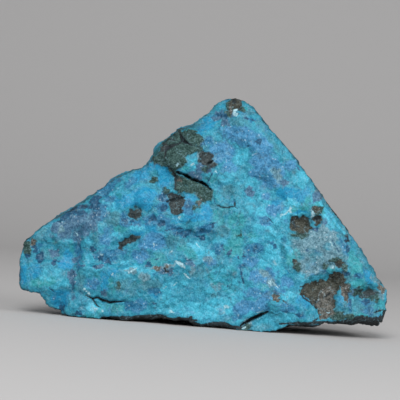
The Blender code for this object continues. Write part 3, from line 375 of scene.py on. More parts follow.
# Thin streaks and crack lines: points in turn, width in millimetres and strength.
LINES = {
    "charcoal": [
        # Painted shade in the cracks and creases.
        Line(SHOULDER_FOOT_CRACK, 0.75, 1.3),
        Line(SHOULDER_CRACK, 0.8, 1.2),
        Line([(62.3, 72.3), (60.5, 70.8), (57, 69.8), (56, 68.5), (55.5, 65.5)], 0.7, 0.9),
        Line(SHORT_CRACK, 0.7, 1.2),
        Line([(57, 62.5), (58.5, 60.5), (59.5, 58), (59.5, 53.5)], 0.6, 0.9),
        Line(PIT_CRACK, 0.7, 1.0),
        Line(CHIP_CRACK, 0.9, 1.2),
        Line(MIDDLE_CRACK, 0.4, 1.0),
        Line([(82, 47.3), (82, 49)], 0.5, 0.9),
        Line([(135.5, 7), (139, 7.8)], 0.6, 1.0),
        Line([(25.5, 13.6), (28, 12.3), (30, 12.8), (32, 11.5), (35, 11), (40, 11.5)], 0.6, 1.0),
        Line(FOOT_CRACK, 0.5, 0.9),
        Line([(115.5, 51.5), (120.5, 44.8), (125.3, 38.3)], 0.6, 0.7),
        Line([(100, 12), (102, 10.3)], 0.4, 0.9),
        Line([(116, 12.3), (118.5, 14.3)], 0.5, 0.9),
        Line([(106.5, 15.5), (108, 12.8), (111, 10.6), (113.3, 8.2)], 0.5, 0.8),
        Line([(111, 3.2), (113.5, 5)], 0.5, 0.9),
        # Painted shadow: dark bands along the bottom edge, where the underside is in shade.
        Line([(36, 5.3), (40, 4.7), (46, 5.2), (54, 5.4), (57, 4.2), (61, 4.5), (65, 4.5), (66, 3.2),
                (69, 2.1)], 1.5, 1.1),
        Line([(69, 2.1), (73, 2.5), (78, 2.7), (80.5, 1.6), (84.3, 1.3)], 1.4, 1.1),
        Line([(99, 2.8), (104, 3), (109, 2.9), (113, 3.2), (118, 3.3), (123, 3.6)], 0.9, 0.8),
    ],
    "pale": [
        Line([(114.3, 48.6), (118, 44.2), (121.5, 40), (124, 37)], 1.2, 0.9),
    ],
    "navy": [
        Line([(84, 24), (84.5, 21.5), (85.3, 18)], 0.5, 0.9),
        Line([(72.8, 40.5), (75.3, 41.2)], 0.5, 0.9),
        Line([(54.5, 37.8), (58, 38.6), (62, 39)], 0.4, 0.9),
        Line([(94, 43.5), (96.5, 41)], 0.5, 0.8),
        Line([(127, 21), (129.5, 20.4)], 0.4, 0.9),
        Line([(20.5, 24), (20.7, 17), (20, 12)], 0.5, 0.45),
        Line([(11.5, 16.5), (13.5, 14.8)], 0.4, 0.9),
        Line([(71.5, 56), (73.5, 60)], 0.5, 0.7),
        Line([(74.5, 48.5), (73.5, 52)], 0.35, 0.6),
        Line([(118.5, 35), (121.5, 30)], 0.4, 0.7),
        Line([(110, 13), (113, 9.5)], 0.4, 0.6),
        Line([(23, 8.5), (24.5, 5.5)], 0.4, 0.8),
    ],
    "white": [
        # White streaks: partly white quartz veins and partly painted glints.
        Line([(59.8, 26.6), (61.5, 25.6), (63, 24.3)], 1.1, 1.2),
        Line([(57, 29.5), (58.5, 30.6)], 0.4, 0.8),
        Line([(62.8, 22), (64, 20.8), (65, 20)], 0.5, 0.9),
        Line([(41.5, 22), (45, 24)], 0.4, 0.7),
        Line([(99.5, 43.5), (101.5, 44.5), (103.4, 46.5)], 0.4, 0.6),
        Line([(96, 19), (98.5, 16.5)], 0.4, 0.8),
        Line([(54.5, 16), (56.5, 17.2)], 0.3, 0.7),
        Line([(60, 18.5), (58.5, 17)], 0.3, 0.7),
        Line([(67.3, 33), (68.8, 31.6)], 0.4, 0.8),
        Line([(117.8, 34.5), (119.4, 31.5)], 0.4, 0.8),
        Line([(90, 7), (93, 7.8)], 0.4, 0.7),
    ],
}

# Lumps and hollows of the front: centre, half-sizes, turn in degrees and rise in millimetres.
Swell = namedtuple("Swell", "u v across up turn rise")
SWELLS = [
    Swell(44.5, 44.5, 3, 3, 0, -0.8), Swell(42, 33.7, 4.2, 1.8, 20, -0.7),
    Swell(106.8, 40.3, 4.2, 3, 0, -1.0), Swell(115.5, 14, 5, 6.4, 0, -0.5),
    Swell(121, 19.7, 3.2, 2.8, 0, -0.1), Swell(132.5, 14, 3.8, 2, 0, -0.7),
    Swell(66, 63.5, 3, 3.2, 0, 0.5), Swell(59, 66.8, 3.6, 3, 0, 0.5), Swell(122, 12, 1.7, 4, 0, 0.8),
    Swell(20.3, 18, 1, 6, 0, -0.4), Swell(21.7, 29.5, 1.6, 5, 0, -0.5),
    Swell(71, 65.3, 2.6, 2.6, 0, -0.5),
]
SWELL_EDGE = 1.4

# Cracks carved into the front: line, width and depth in millimetres.
CRACKS = [
    (SHOULDER_FOOT_CRACK, 1.05, 2.6),
    (SHOULDER_CRACK, 1.0, 2.0),
    ([(62.3, 72.3), (57, 69.8), (56, 68.5), (55.5, 65.5)], 1.0, 0.8),
    (SHORT_CRACK, 0.9, 1.4),
    ([(58.5, 61), (60, 58), (60, 53.5)], 0.6, 0.5),
    (PIT_CRACK, 0.9, 1.2),
    (CHIP_CRACK, 1.1, 2.5),
    (MIDDLE_CRACK, 0.6, 0.7),
    ([(25.5, 14), (28, 12.3), (30, 12.8), (32, 11.5), (35, 11), (40, 11.5)], 1.0, 1.3),
    (FOOT_CRACK, 0.8, 0.7),
]

# Ledges of the front: lip line left to right, rise below the lip and how far down it fades, in millimetres.
LEDGES = [
    ([(24, 25), (30, 25), (35, 25), (40, 24.5), (46, 25.3), (54, 25), (58, 26.5), (65, 27.2)], 0.9, 5),
    ([(2, 26), (8, 27), (14, 26), (19, 24.5)], 0.8, 7),
    ([(24.5, 14.8), (28, 12.5), (32, 11.8), (40, 11.8)], -0.5, 4),
    ([(102, 43.8), (106, 43.5), (110, 44)], -0.35, 3),
    ([(104, 16), (107, 13.5), (110, 11), (112.5, 8.5), (114.3, 5.5)], 0.9, 6),
    ([(50, 43), (58, 40), (66, 38.5), (75, 37)], -0.5, 4),
    ([(76, 69), (84, 62.5), (93, 58), (101, 50)], -0.25, 5),
    ([(84.3, 2.2), (88, 4.4), (94.4, 7.4)], -0.6, 4),
    ([(94.5, 7.6), (101, 7)], 0.8, 6),
    ([(78, 31), (86, 26), (95, 19), (101, 12)], 0.6, 5),
    ([(88, 43), (96, 38), (103, 31), (106, 24)], 0.5, 5),
    ([(13, 38), (22, 42), (30, 48), (37, 54)], 0.6, 5),
    ([(44, 33), (52, 31), (60, 31), (68, 29)], 0.5, 4),
]

# Lips of the ledges, in millimetres, and from which turn towards the front the forms of the front count.
LIP_WIDTH = 0.9
LIP_WANDER = 1.2
LIP_WANDER_SIZE = 3.0
LIP_SEED = 5.0
LEDGE_RUN_OUT = 2.0
FACING_START = 0.25
FACING_BLEND = 0.5

# How a line tapers and falls off: width at its ends, share of its run that counts as an end, and the flat
# top and steepness of its sides.
Stroke = namedtuple("Stroke", "end_width end_run top fall")
STREAK = Stroke(0.35, 0.08, 1.5, 1.4)
CARVED = Stroke(0.3, 0.06, 1.4, 1.6)

# How far each mineral stands out of the face, in millimetres.
MINERAL_RISE = {"matrix": 0.35, "rust": -0.25, "tan": -0.15, "charcoal": -0.2, "navy": -0.15, "pale": 0.12}

# Bendings of the spots: reach and size in millimetres, and seed. Then how far out a spot's soft rim reaches.
BENDINGS = [(0.5, 5.0, 11.0), (1.0, 1.7, 19.0)]
BEND_SEED_STEP = 12
PATCH_EDGE = 1.5

# Noises of the minerals: size in millimetres, octaves, first seed and how far the seed moves on for each
# mineral.
MineralNoise = namedtuple("MineralNoise", "size octaves seed seed_step")
SALT = MineralNoise(4.5, 2, 17.0, 5)
CLOUDS = MineralNoise(13.0, 3, 40.0, 7)
FRAY = MineralNoise(2.6, 3, 61.0, 3)
SALT_SWING = 1.2
CLOUD_SWING = 0.75

# Rise and size of the grain and of the rough edges, in millimetres, and how much waxy minerals calm the
# surface.
GRAIN_RISE = 0.08
GRAIN_SIZE = 0.9
GRAIN_SEED = 3.0
EDGE_RISE = 0.55
EDGE_SIZE = 2.2
EDGE_SEED = 29.0
WAXY_CALM = 0.5

# Painted shade on the skin that turns away from the front, a darkening of its colour: from which turn,
# how far behind the face in millimetres, and how much.
RIM_FACING = 0.85
RIM_REACH = 7.0
RIM_FADE = 9.0
RIM_PAINTED_SHADE = 0.7

# The underside, painted near black as painted shade and partly dark rock: from which turn downwards,
# where it stops on the face in millimetres, and its strength left of the left foot.
UNDER_START = 0.35
UNDER_BLEND = 0.35
UNDER_TOP = 7.0
UNDER_DEPTH = 3.0
UNDER_EDGE = 2.0
UNDER_LEFT = 0.4
UNDER_LEFT_FADE = 10.0

# Rounds of smoothing, each going on from the one before: steps, and what the distance to the smoothed
# surface counts after them.
RIDGE_REACHES = [(4, 3.0), (26, 1.0)]

# Break facets of the skin: size in millimetres, steepest slope and seed.
FACETS = [(5.0, 0.08, 5), (2.4, 0.1, 17), (1.2, 0.19, 41)]
FACET_EDGE = 0.06
FACETS_MET = 3

# Making of the skin: voxel in millimetres, smoothing, and how much sooner triangles go behind the front.
FINE_VOXEL = 0.42
SMOOTHING = 14
SMOOTHING_FACTOR = 0.5
BEHIND_START = -0.45
BEHIND_BLEND = 0.4
BEHIND_LEVELS = 4
BEHIND_WEIGHT = 4.0

# Noises of the material: size in millimetres, detail, roughness and shift. The swirl bends the first two,
# and the fine one frays the borders of the minerals.
Cloud = namedtuple("Cloud", "size detail roughness shift")
DRIFT = Cloud(4.2, 3, 0.5, 0.1)
MOTTLE = Cloud(1.5, 4, 0.6, 0.0)
SPECK = Cloud(0.55, 2, 0.6, 0.3)
FINE = Cloud(0.8, 3, 0.6, 0.7)
SWIRL_SIZE = 3.0
SWIRL_REACH = 1.6
BEND_DETAIL = 2.0
FINE_FRAY = 6.0

# Tones inside a mineral: sizes of its grains in millimetres, shares of the noises, the painted light on
# ridges and painted shade in hollows, and where its dark, middle and pale colours lie.
GRAIN_CELLS = (0.6, 1.3)
LARGE_GRAINS = 0.4
DRIFT_SHARE = 0.15
SPECK_SHARE = 0.62
TONE_RANGE = (0.32, 0.68)
GRAIN_SHARE = 0.5
RIDGE_LIGHT_AND_SHADE = 0.17
TONE_STOPS = (0.1, 0.5, 0.92)

# Thin lines in the colour: bending and cell size in millimetres, width, strength, colour, and the zones that
# have them.
Crackle = namedtuple("Crackle", "bend_size bend_reach cell width strength colour zones zone_range")
HAIRS = Crackle(2.2, 2.0, 5.5, 0.07, 0.35, (0.006, 0.03, 0.05, 1), Cloud(7.0, 2, 0.5, 1.3), (0.5, 0.62))
VEINS = Crackle(1.4, 1.6, 2.4, 0.08, 0.22, (0.3, 0.55, 0.65, 1), Cloud(2.6, 2, 0.5, 2.9), (0.48, 0.6))

# Painted glints on the grains: size in millimetres, which of them glint, how grainy the ground has to be,
# strength and colour.
GLINT_CELL = 0.5
GLINT_RANGE = (0.965, 0.99)
GLINT_GROUND = (0.4, 0.8)
GLINT_SHARE = 0.3
GLINT_COLOUR = (0.7, 0.85, 0.92, 1)

# Gloss of the stone, and its finest bumps: share of each noise, strength and height in millimetres.
SPECULAR = 0.3
BUMP_SPECK = 0.5
BUMP_GRAIN = 0.5
BUMP_STRENGTH = 0.8
BUMP_HEIGHT = 0.35

# The stage, in metres: lamps with their place, size and share of the key light's power, and what they
# point at.
Lamp = namedtuple("Lamp", "name place size share")
LAMPS = [Lamp("key_light", (-0.15, -1.0, 0.85), 0.7, 1.0), Lamp("side_light", (0.8, -0.5, 0.5), 0.6, 0.35)]
LAMP_TARGET = (0, 0, 0.04)
PAPER = (180, 179, 179)
PAPER_ROUGHNESS = 0.9
PAPER_BEND_STEPS = 12

# The camera: distance, the place on the face that it looks at, width of the view and sensor, in millimetres.
CAMERA_DISTANCE = 550.0
CAMERA_CENTRE = (68.8, 49.7)
VIEW_WIDTH = 151.2
SENSOR = 36.0


def linear(colour):
    """A screen colour, 0 to 255, as the linear values that a shader takes."""
    return tuple(((c / 255 + 0.055) / 1.055) ** 2.4 if c > 10 else c / 255 / 12.92 for c in colour)


def screen_level(value):
    """The screen level, 0 to 255, of one linear value."""
    return 255 * (1.055 * value ** (1 / 2.4) - 0.055 if value > 0.0031 else value * 12.92)


def face_to_frame(u, v, w):
    """A place on the front face, in millimetres, as a place in the frame, in metres."""
    x = u * math.cos(REST_TILT) - v * math.sin(REST_TILT) + FACE_PLACE[0]
    z = u * math.sin(REST_TILT) + v * math.cos(REST_TILT) + FACE_PLACE[2]
    return Vector((x, w + FACE_PLACE[1], z)) * MM


def frame_to_face(points):
    """Rows of u, v and w in millimetres from rows of frame places in metres."""
    x, y, z = (points / MM - np.array(FACE_PLACE)).T
    u = x * math.cos(REST_TILT) + z * math.sin(REST_TILT)
    v = z * math.cos(REST_TILT) - x * math.sin(REST_TILT)
    return u, v, y


def behind_face(points):
    """How far each point lies behind the leaning front face, in millimetres."""
    _, v, w = frame_to_face(points)
    return w - FRONT_LEAN * v / FACE_HEIGHT


def smooth_step(value):
    value = np.clip(value, 0.0, 1.0)
    return value * value * (3.0 - 2.0 * value)


def fractal(points, size, octaves, shift):
    """Cloud-like noise with lumps of about one size, in millimetres."""
    offset = Vector((shift, -shift, shift))
    return np.array([noise.fractal(Vector(point) / size + offset, 1, 2, octaves) for point in points])


def ellipse_share(u, v, spot, edge):
    """One inside an ellipse, a half on its rim and nothing well outside it."""
    turn = math.radians(spot.turn)
    du = u - spot.u
    dv = v - spot.v
    across = (du * math.cos(turn) + dv * math.sin(turn)) / spot.across
    up = (dv * math.cos(turn) - du * math.sin(turn)) / spot.up
    return smooth_step((edge - np.hypot(across, up)) / (2 * edge - 2))


def line_share(u, v, points):
    """Distance from a line of points in millimetres, and how far along it the nearest place is."""
    nearest = np.full(len(u), np.inf)
    along = np.zeros(len(u))
    lengths = [math.dist(a, b) for a, b in zip(points, points[1:])]
    run = 0.0
    for (start_u, start_v), (end_u, end_v), length in zip(points, points[1:], lengths):
        step_u, step_v = (end_u - start_u) / length, (end_v - start_v) / length
        place = np.clip((u - start_u) * step_u + (v - start_v) * step_v, 0, length)
        distance = np.hypot(u - start_u - place * step_u, v - start_v - place * step_v)
        closer = distance < nearest
        nearest = np.where(closer, distance, nearest)
        along = np.where(closer, (run + place) / sum(lengths), along)
        run += length
    return nearest, along


def stroke_share(u, v, points, width, stroke):
    """How thick a tapering line is at the nearest place, and its share: one on it and nothing beside it."""
    distance, along = line_share(u, v, points)
    swell = np.sin(math.pi * np.clip(along, stroke.end_run, 1 - stroke.end_run))
    thickness = stroke.end_width + (1 - stroke.end_width) * swell
    return thickness, smooth_step(stroke.top - distance / (width * thickness) * stroke.fall)


def region_share(u, v, region):
    """One inside a region, a half on its border and nothing outside it."""
    inside = np.zeros(len(u), dtype=bool)
    corners = region.corners
    for (start_u, start_v), (end_u, end_v) in zip(corners, corners[1:] + corners[:1]):
        if start_v == end_v:
            continue
        crossing = start_u + (v - start_v) * (end_u - start_u) / (end_v - start_v)
        inside ^= ((start_v > v) != (end_v > v)) & (u < crossing)
    distance, _ = line_share(u, v, corners + corners[:1])
    return smooth_step(0.5 + np.where(inside, distance, -distance) / (2 * region.edge))


def facet_height(points, size, slope, seed):
    """Height of a surface broken into small planes, each with a slope and a step of its own."""
    random = np.random.default_rng(seed)
    low = points.min(axis=0) - size
    high = points.max(axis=0) + size
    count = int(np.prod((high - low) / size))
    centres = random.uniform(low, high, (count, 3))
    slopes = random.uniform(-slope, slope, (count, 3))
    steps = random.uniform(-slope, slope, count) * size / 2
    tree = KDTree(count)
    for index, centre in enumerate(centres):
        tree.insert(centre, index)
    tree.balance()
    indices = np.empty((len(points), FACETS_MET), dtype=int)
    distances = np.empty((len(points), FACETS_MET))
    for place, point in enumerate(points):
        for rank, (_, index, distance) in enumerate(tree.find_n(point, FACETS_MET)):
            indices[place, rank] = index
            distances[place, rank] = distance
    weights = np.exp((distances[:, :1] - distances) / (size * FACET_EDGE))
    away = points[:, None, :] - centres[indices]
    planes = (away * slopes[indices]).sum(axis=2) + steps[indices]
    return (weights * planes).sum(axis=1) / weights.sum(axis=1)


def mesh_points(mesh, what="co"):
    values = np.empty(len(mesh.vertices) * 3)
    mesh.vertices.foreach_get(what, values)
    return values.reshape(-1, 3)


def baked_mesh(obj, name):
    """The object's mesh as its modifiers leave it."""
    bpy.context.view_layer.update()
    graph = bpy.context.evaluated_depsgraph_get()
    mesh = bpy.data.meshes.new_from_object(obj.evaluated_get(graph), depsgraph=graph)
    mesh.name = name
    return mesh


def link(obj):
    bpy.context.scene.collection.objects.link(obj)
    return obj


def fine_skin(triangles):
    """An even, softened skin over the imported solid, finer on the front face than behind."""
    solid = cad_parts[NODE]
    work = link(bpy.data.objects.new("skin_work", solid.data.copy()))
    remesh = work.modifiers.new("fine", "REMESH")
    remesh.mode = "VOXEL"
    remesh.voxel_size = FINE_VOXEL * MM
    soften = work.modifiers.new("soften", "SMOOTH")
    soften.factor = SMOOTHING_FACTOR
    soften.iterations = SMOOTHING
    fine = baked_mesh(work, "fine_skin")
    bpy.data.objects.remove(work, do_unlink=True)

    work = link(bpy.data.objects.new("skin_work", fine))
    group = work.vertex_groups.new(name="behind")
    behind = smooth_step((mesh_points(fine, "normal")[:, 1] - BEHIND_START) / BEHIND_BLEND)
    for level in range(1, BEHIND_LEVELS + 1):
        chosen = np.nonzero(np.round(behind * BEHIND_LEVELS) == level)[0]
        group.add(chosen.tolist(), level / BEHIND_LEVELS, "REPLACE")
    fine.calc_loop_triangles()
    fewer = work.modifiers.new("fewer", "DECIMATE")
    fewer.ratio = min(1.0, triangles / len(fine.loop_triangles))
    fewer.vertex_group = group.name
    fewer.vertex_group_factor = BEHIND_WEIGHT
    mesh = baked_mesh(work, "chrysocolla_stone")
    bpy.data.objects.remove(work, do_unlink=True)
    return mesh


def mineral_noise(places, kind, index):
    """One kind of noise at each place, with a seed of its own for each mineral."""
    return fractal(places, kind.size, kind.octaves, kind.seed + kind.seed_step * index)


def mineral_shares(points, normals):
    """How much of each mineral shows at each point: listed on the front, clouds behind."""
    u, v, _ = frame_to_face(points)
    places = points / MM
    u_bent, v_bent = u, v
    for reach, size, seed in BENDINGS:
        u_bent = u_bent + reach * fractal(places, size, 2, seed)
        v_bent = v_bent + reach * fractal(places, size, 2, seed + BEND_SEED_STEP)
    depth = behind_face(points)
    front = smooth_step(1 - (depth - FRONT_REACH) / FRONT_FADE)
    shares = {}
    for index, (name, mineral) in enumerate(MINERALS.items()):
        if index == 0:
            continue
        placed = np.zeros(len(points))
        for values in PATCHES.get(name, []):
            spot = Patch(*values)
            placed = np.maximum(placed, spot.strength * ellipse_share(u_bent, v_bent, spot, PATCH_EDGE))
        for region in REGIONS.get(name, []):
            placed = np.maximum(placed, region.strength * region_share(u_bent, v_bent, region))
        for line in LINES.get(name, []):
            _, streak = stroke_share(u, v, line.points, line.width, STREAK)
            placed = np.maximum(placed, line.strength * streak)
        salt = mineral_noise(places, SALT, index)
        placed = np.maximum(placed, mineral.salt * (1 + SALT_SWING * salt))
        behind = mineral.cloud + CLOUD_SWING * mineral_noise(places, CLOUDS, index)
        share = placed * front + np.clip(behind, 0, 1) * (1 - front)
        share += mineral.ragged * mineral_noise(places, FRAY, index)
        # Painted shade, partly dark rock: skin that faces down turns near-black as the shaded underside.
        if name == "charcoal":
            underside_shade = smooth_step((-normals[:, 2] - UNDER_START) / UNDER_BLEND)
            low = smooth_step((UNDER_TOP - v) / UNDER_EDGE)
            underside_shade *= np.maximum(low, smooth_step((depth - UNDER_DEPTH) / UNDER_EDGE))
            right = smooth_step((u - LEFT_FOOT[0]) / UNDER_LEFT_FADE)
            share = np.maximum(share, underside_shade * (UNDER_LEFT + (1 - UNDER_LEFT) * right))
        shares[name] = smooth_step((share - 0.5 + mineral.soft) / (2 * mineral.soft))
    return shares


def below_line(u, v, line):
    """Distance from a line that runs left to right, above zero below it, and how far past its ends it is."""
    nearest = np.full(len(u), np.inf)
    signed = np.zeros(len(u))
    beyond = np.zeros(len(u))
    for (start_u, start_v), (end_u, end_v) in zip(line, line[1:]):
        length = math.hypot(end_u - start_u, end_v - start_v)
        step_u, step_v = (end_u - start_u) / length, (end_v - start_v) / length
        along = (u - start_u) * step_u + (v - start_v) * step_v
        across = (u - start_u) * step_v - (v - start_v) * step_u
        past = along - np.clip(along, 0, length)
        distance = np.hypot(past, across)
        closer = distance < nearest
        nearest = np.where(closer, distance, nearest)
        signed = np.where(closer, np.sign(across) * distance, signed)
        beyond = np.where(closer, np.abs(past), beyond)
    return signed, beyond


def relief(points, normals, shares, strength):
    """How far each point moves out of the softened skin, in millimetres."""
    u, v, _ = frame_to_face(points)
    places = points / MM
    rise = GRAIN_RISE * fractal(places, GRAIN_SIZE, 2, GRAIN_SEED)
    for size, slope, seed in FACETS:
        rise += facet_height(places, size, slope, seed)
    waxy = np.maximum(shares["sky"], shares["pale"])
    rise *= strength * (1 - WAXY_CALM * waxy)
    for name, mineral_rise in MINERAL_RISE.items():
        rise += mineral_rise * shares[name]
    rise += strength * EDGE_RISE * (1 - normals[:, 1] ** 2) * fractal(places, EDGE_SIZE, 3, EDGE_SEED)
    facing = smooth_step((-normals[:, 1] - FACING_START) / FACING_BLEND)
    front = np.zeros(len(points))
    for spot in SWELLS:
        front += spot.rise * ellipse_share(u, v, spot, SWELL_EDGE)
    wander = LIP_WANDER * fractal(places, LIP_WANDER_SIZE, 2, LIP_SEED)
    for line, lip_rise, fade in LEDGES:
        below, beyond = below_line(u, v + wander, line)
        lip = smooth_step(below / LIP_WIDTH + 0.5) * smooth_step(1 - beyond / LEDGE_RUN_OUT)
        front += lip_rise * lip * np.exp(-np.maximum(below, 0) / fade)
    for line, width, depth in CRACKS:
        thickness, crack = stroke_share(u, v, line, width, CARVED)
        front -= depth * thickness * crack
    moved = normals * rise[:, None]
    moved[:, 1] -= facing * front
    return moved


def ridges(mesh, points):
    """Above zero on ridges and below zero in hollows, from -1 to 1: where painted light and shade go."""
    edges = np.empty(len(mesh.edges) * 2, dtype=int)
    mesh.edges.foreach_get("vertices", edges)
    first, second = edges.reshape(-1, 2).T
    count = len(points)
    neighbours = np.bincount(first, minlength=count) + np.bincount(second, minlength=count)
    normals = mesh_points(mesh, "normal")
    smoothed = points.copy()
    total = np.zeros(count)
    for reach, gain in RIDGE_REACHES:
        for _ in range(reach):
            for axis in range(3):
                column = smoothed[:, axis]
                pulled = np.bincount(first, column[second], count)
                pulled += np.bincount(second, column[first], count)
                smoothed[:, axis] = (column + pulled / neighbours) / 2
        total += gain * ((points - smoothed) * normals).sum(axis=1) / MM
    return np.clip(total, -1, 1)


def keep_in_box(points):
    """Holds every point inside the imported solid's box."""
    low, high = (np.array(corner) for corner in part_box(NODE))
    return np.clip(points, low, high)


def painted_rim_shade(points, normals):
    """One where the skin turns away from the front just behind the face's edge, and nothing elsewhere."""
    # Painted shade: this share darkens the colour of the rim in the material.
    turned = smooth_step((RIM_FACING + normals[:, 1]) / RIM_FACING)
    return turned * smooth_step(1 - (behind_face(points) - RIM_REACH) / RIM_FADE)


def store(mesh, name, values):
    attribute = mesh.attributes.new(name, "FLOAT", "POINT")
    attribute.data.foreach_set("value", values.astype(np.float32))


class NodeBench:
    """Adds shader nodes and joins them up."""

    def __init__(self, material):
        material.use_nodes = True
        self.tree = material.node_tree
        self.shader = self.tree.nodes["Principled BSDF"]

    def add(self, kind, settings=None, **inputs):
        node = self.tree.nodes.new(kind)
        for key, value in (settings or {}).items():
            setattr(node, key, value)
        for key, value in inputs.items():
            self.set(node, key.replace("_", " "), value)
        return node

    def set(self, node, socket, value):
        if isinstance(socket, str) and socket.startswith("slot "):
            socket = int(socket.split()[1])
        target = node.inputs[socket]
        if isinstance(value, bpy.types.NodeSocket):
            self.tree.links.new(value, target)
        else:
            target.default_value = value

    def sum(self, *parts):
        total = parts[0]
        for part in parts[1:]:
            total = self.math("ADD", total, part)
        return total

    def math(self, operation, a, b):
        return self.add("ShaderNodeMath", {"operation": operation}, slot_0=a, slot_1=b).outputs[0]

    def step(self, value, low, high):
        """Smooth ramp from nothing at low to one at high."""
        node = self.add(
            "ShaderNodeMapRange",
            {"interpolation_type": "SMOOTHSTEP"},
            Value=value,
            From_Min=low,
            From_Max=high,
        )
        return node.outputs[0]

    def noise(self, coordinates, cloud):
        moved = self.add(
            "ShaderNodeVectorMath",
            {"operation": "ADD"},
            slot_0=coordinates,
            slot_1=(cloud.shift,) * 3,
        )
        texture = self.add(
            "ShaderNodeTexNoise",
            Vector=moved.outputs[0],
            Scale=1 / (cloud.size * MM),
            Detail=cloud.detail,
            Roughness=cloud.roughness,
        )
        return texture.outputs["Fac"]

    def bent(self, coordinates, size, reach):
        """Coordinates pushed about, so that a texture read there swirls."""
        texture = self.add(
            "ShaderNodeTexNoise",
            Vector=coordinates,
            Scale=1 / (size * MM),
            Detail=BEND_DETAIL,
        )
        centred = self.add(
            "ShaderNodeVectorMath",
            {"operation": "SUBTRACT"},
            slot_0=texture.outputs["Color"],
            slot_1=(0.5, 0.5, 0.5),
        )
        pushed = self.add(
            "ShaderNodeVectorMath",
            {"operation": "MULTIPLY_ADD"},
            slot_0=centred.outputs[0],
            slot_1=(reach * MM,) * 3,
            slot_2=coordinates,
        )
        return pushed.outputs[0]

    def cell_tone(self, coordinates, size):
        """A random tone for each grain of one size."""
        cells = self.add("ShaderNodeTexVoronoi", Vector=coordinates, Scale=1 / (size * MM))
        return self.add("ShaderNodeSeparateColor", slot_0=cells.outputs["Color"]).outputs[0]

    def attribute(self, name):
        return self.add("ShaderNodeAttribute", {"attribute_name": name}).outputs["Fac"]

    def mix(self, share, a, b):
        node = self.add("ShaderNodeMix", {"data_type": "RGBA"})
        self.set(node, 0, share)
        self.set(node, 6, a)
        self.set(node, 7, b)
        return node.outputs[2]

    def mix_value(self, share, a, b):
        node = self.add("ShaderNodeMix", {"data_type": "FLOAT"})
        self.set(node, 0, share)
        self.set(node, 2, a)
        self.set(node, 3, b)
        return node.outputs[0]

    def ramp(self, value, stops):
        node = self.add("ShaderNodeValToRGB", slot_0=value)
        ramp = node.color_ramp
        ramp.elements[0].position, ramp.elements[0].color = stops[0]
        ramp.elements[1].position, ramp.elements[1].color = stops[-1]
        for position, colour in stops[1:-1]:
            ramp.elements.new(position).color = colour
        return node.outputs["Color"]


def tones(mineral, colour):
    """A mineral's dark, middle and pale colours, in even steps on the screen so that its hue stays calm."""
    screen = [screen_level(c) for c in colour[:3]]
    shifts = (-mineral.dark, 0, mineral.pale)
    return [(*linear([max(level + shift, 2) for level in screen]), 1) for shift in shifts]


def crackle(bench, spot, colour, kind):
    """The colour with thin lines along the borders of bent cells, in some zones only."""
    cells = bench.add(
        "ShaderNodeTexVoronoi",
        {"feature": "DISTANCE_TO_EDGE"},
        Vector=bench.bent(spot, kind.bend_size, kind.bend_reach),
        Scale=1 / (kind.cell * MM),
    )
    line = bench.math("SUBTRACT", 1.0, bench.step(cells.outputs["Distance"], 0.0, kind.width))
    line = bench.math("MULTIPLY", line, bench.step(bench.noise(spot, kind.zones), *kind.zone_range))
    return bench.mix(bench.math("MULTIPLY", line, kind.strength), colour, kind.colour)


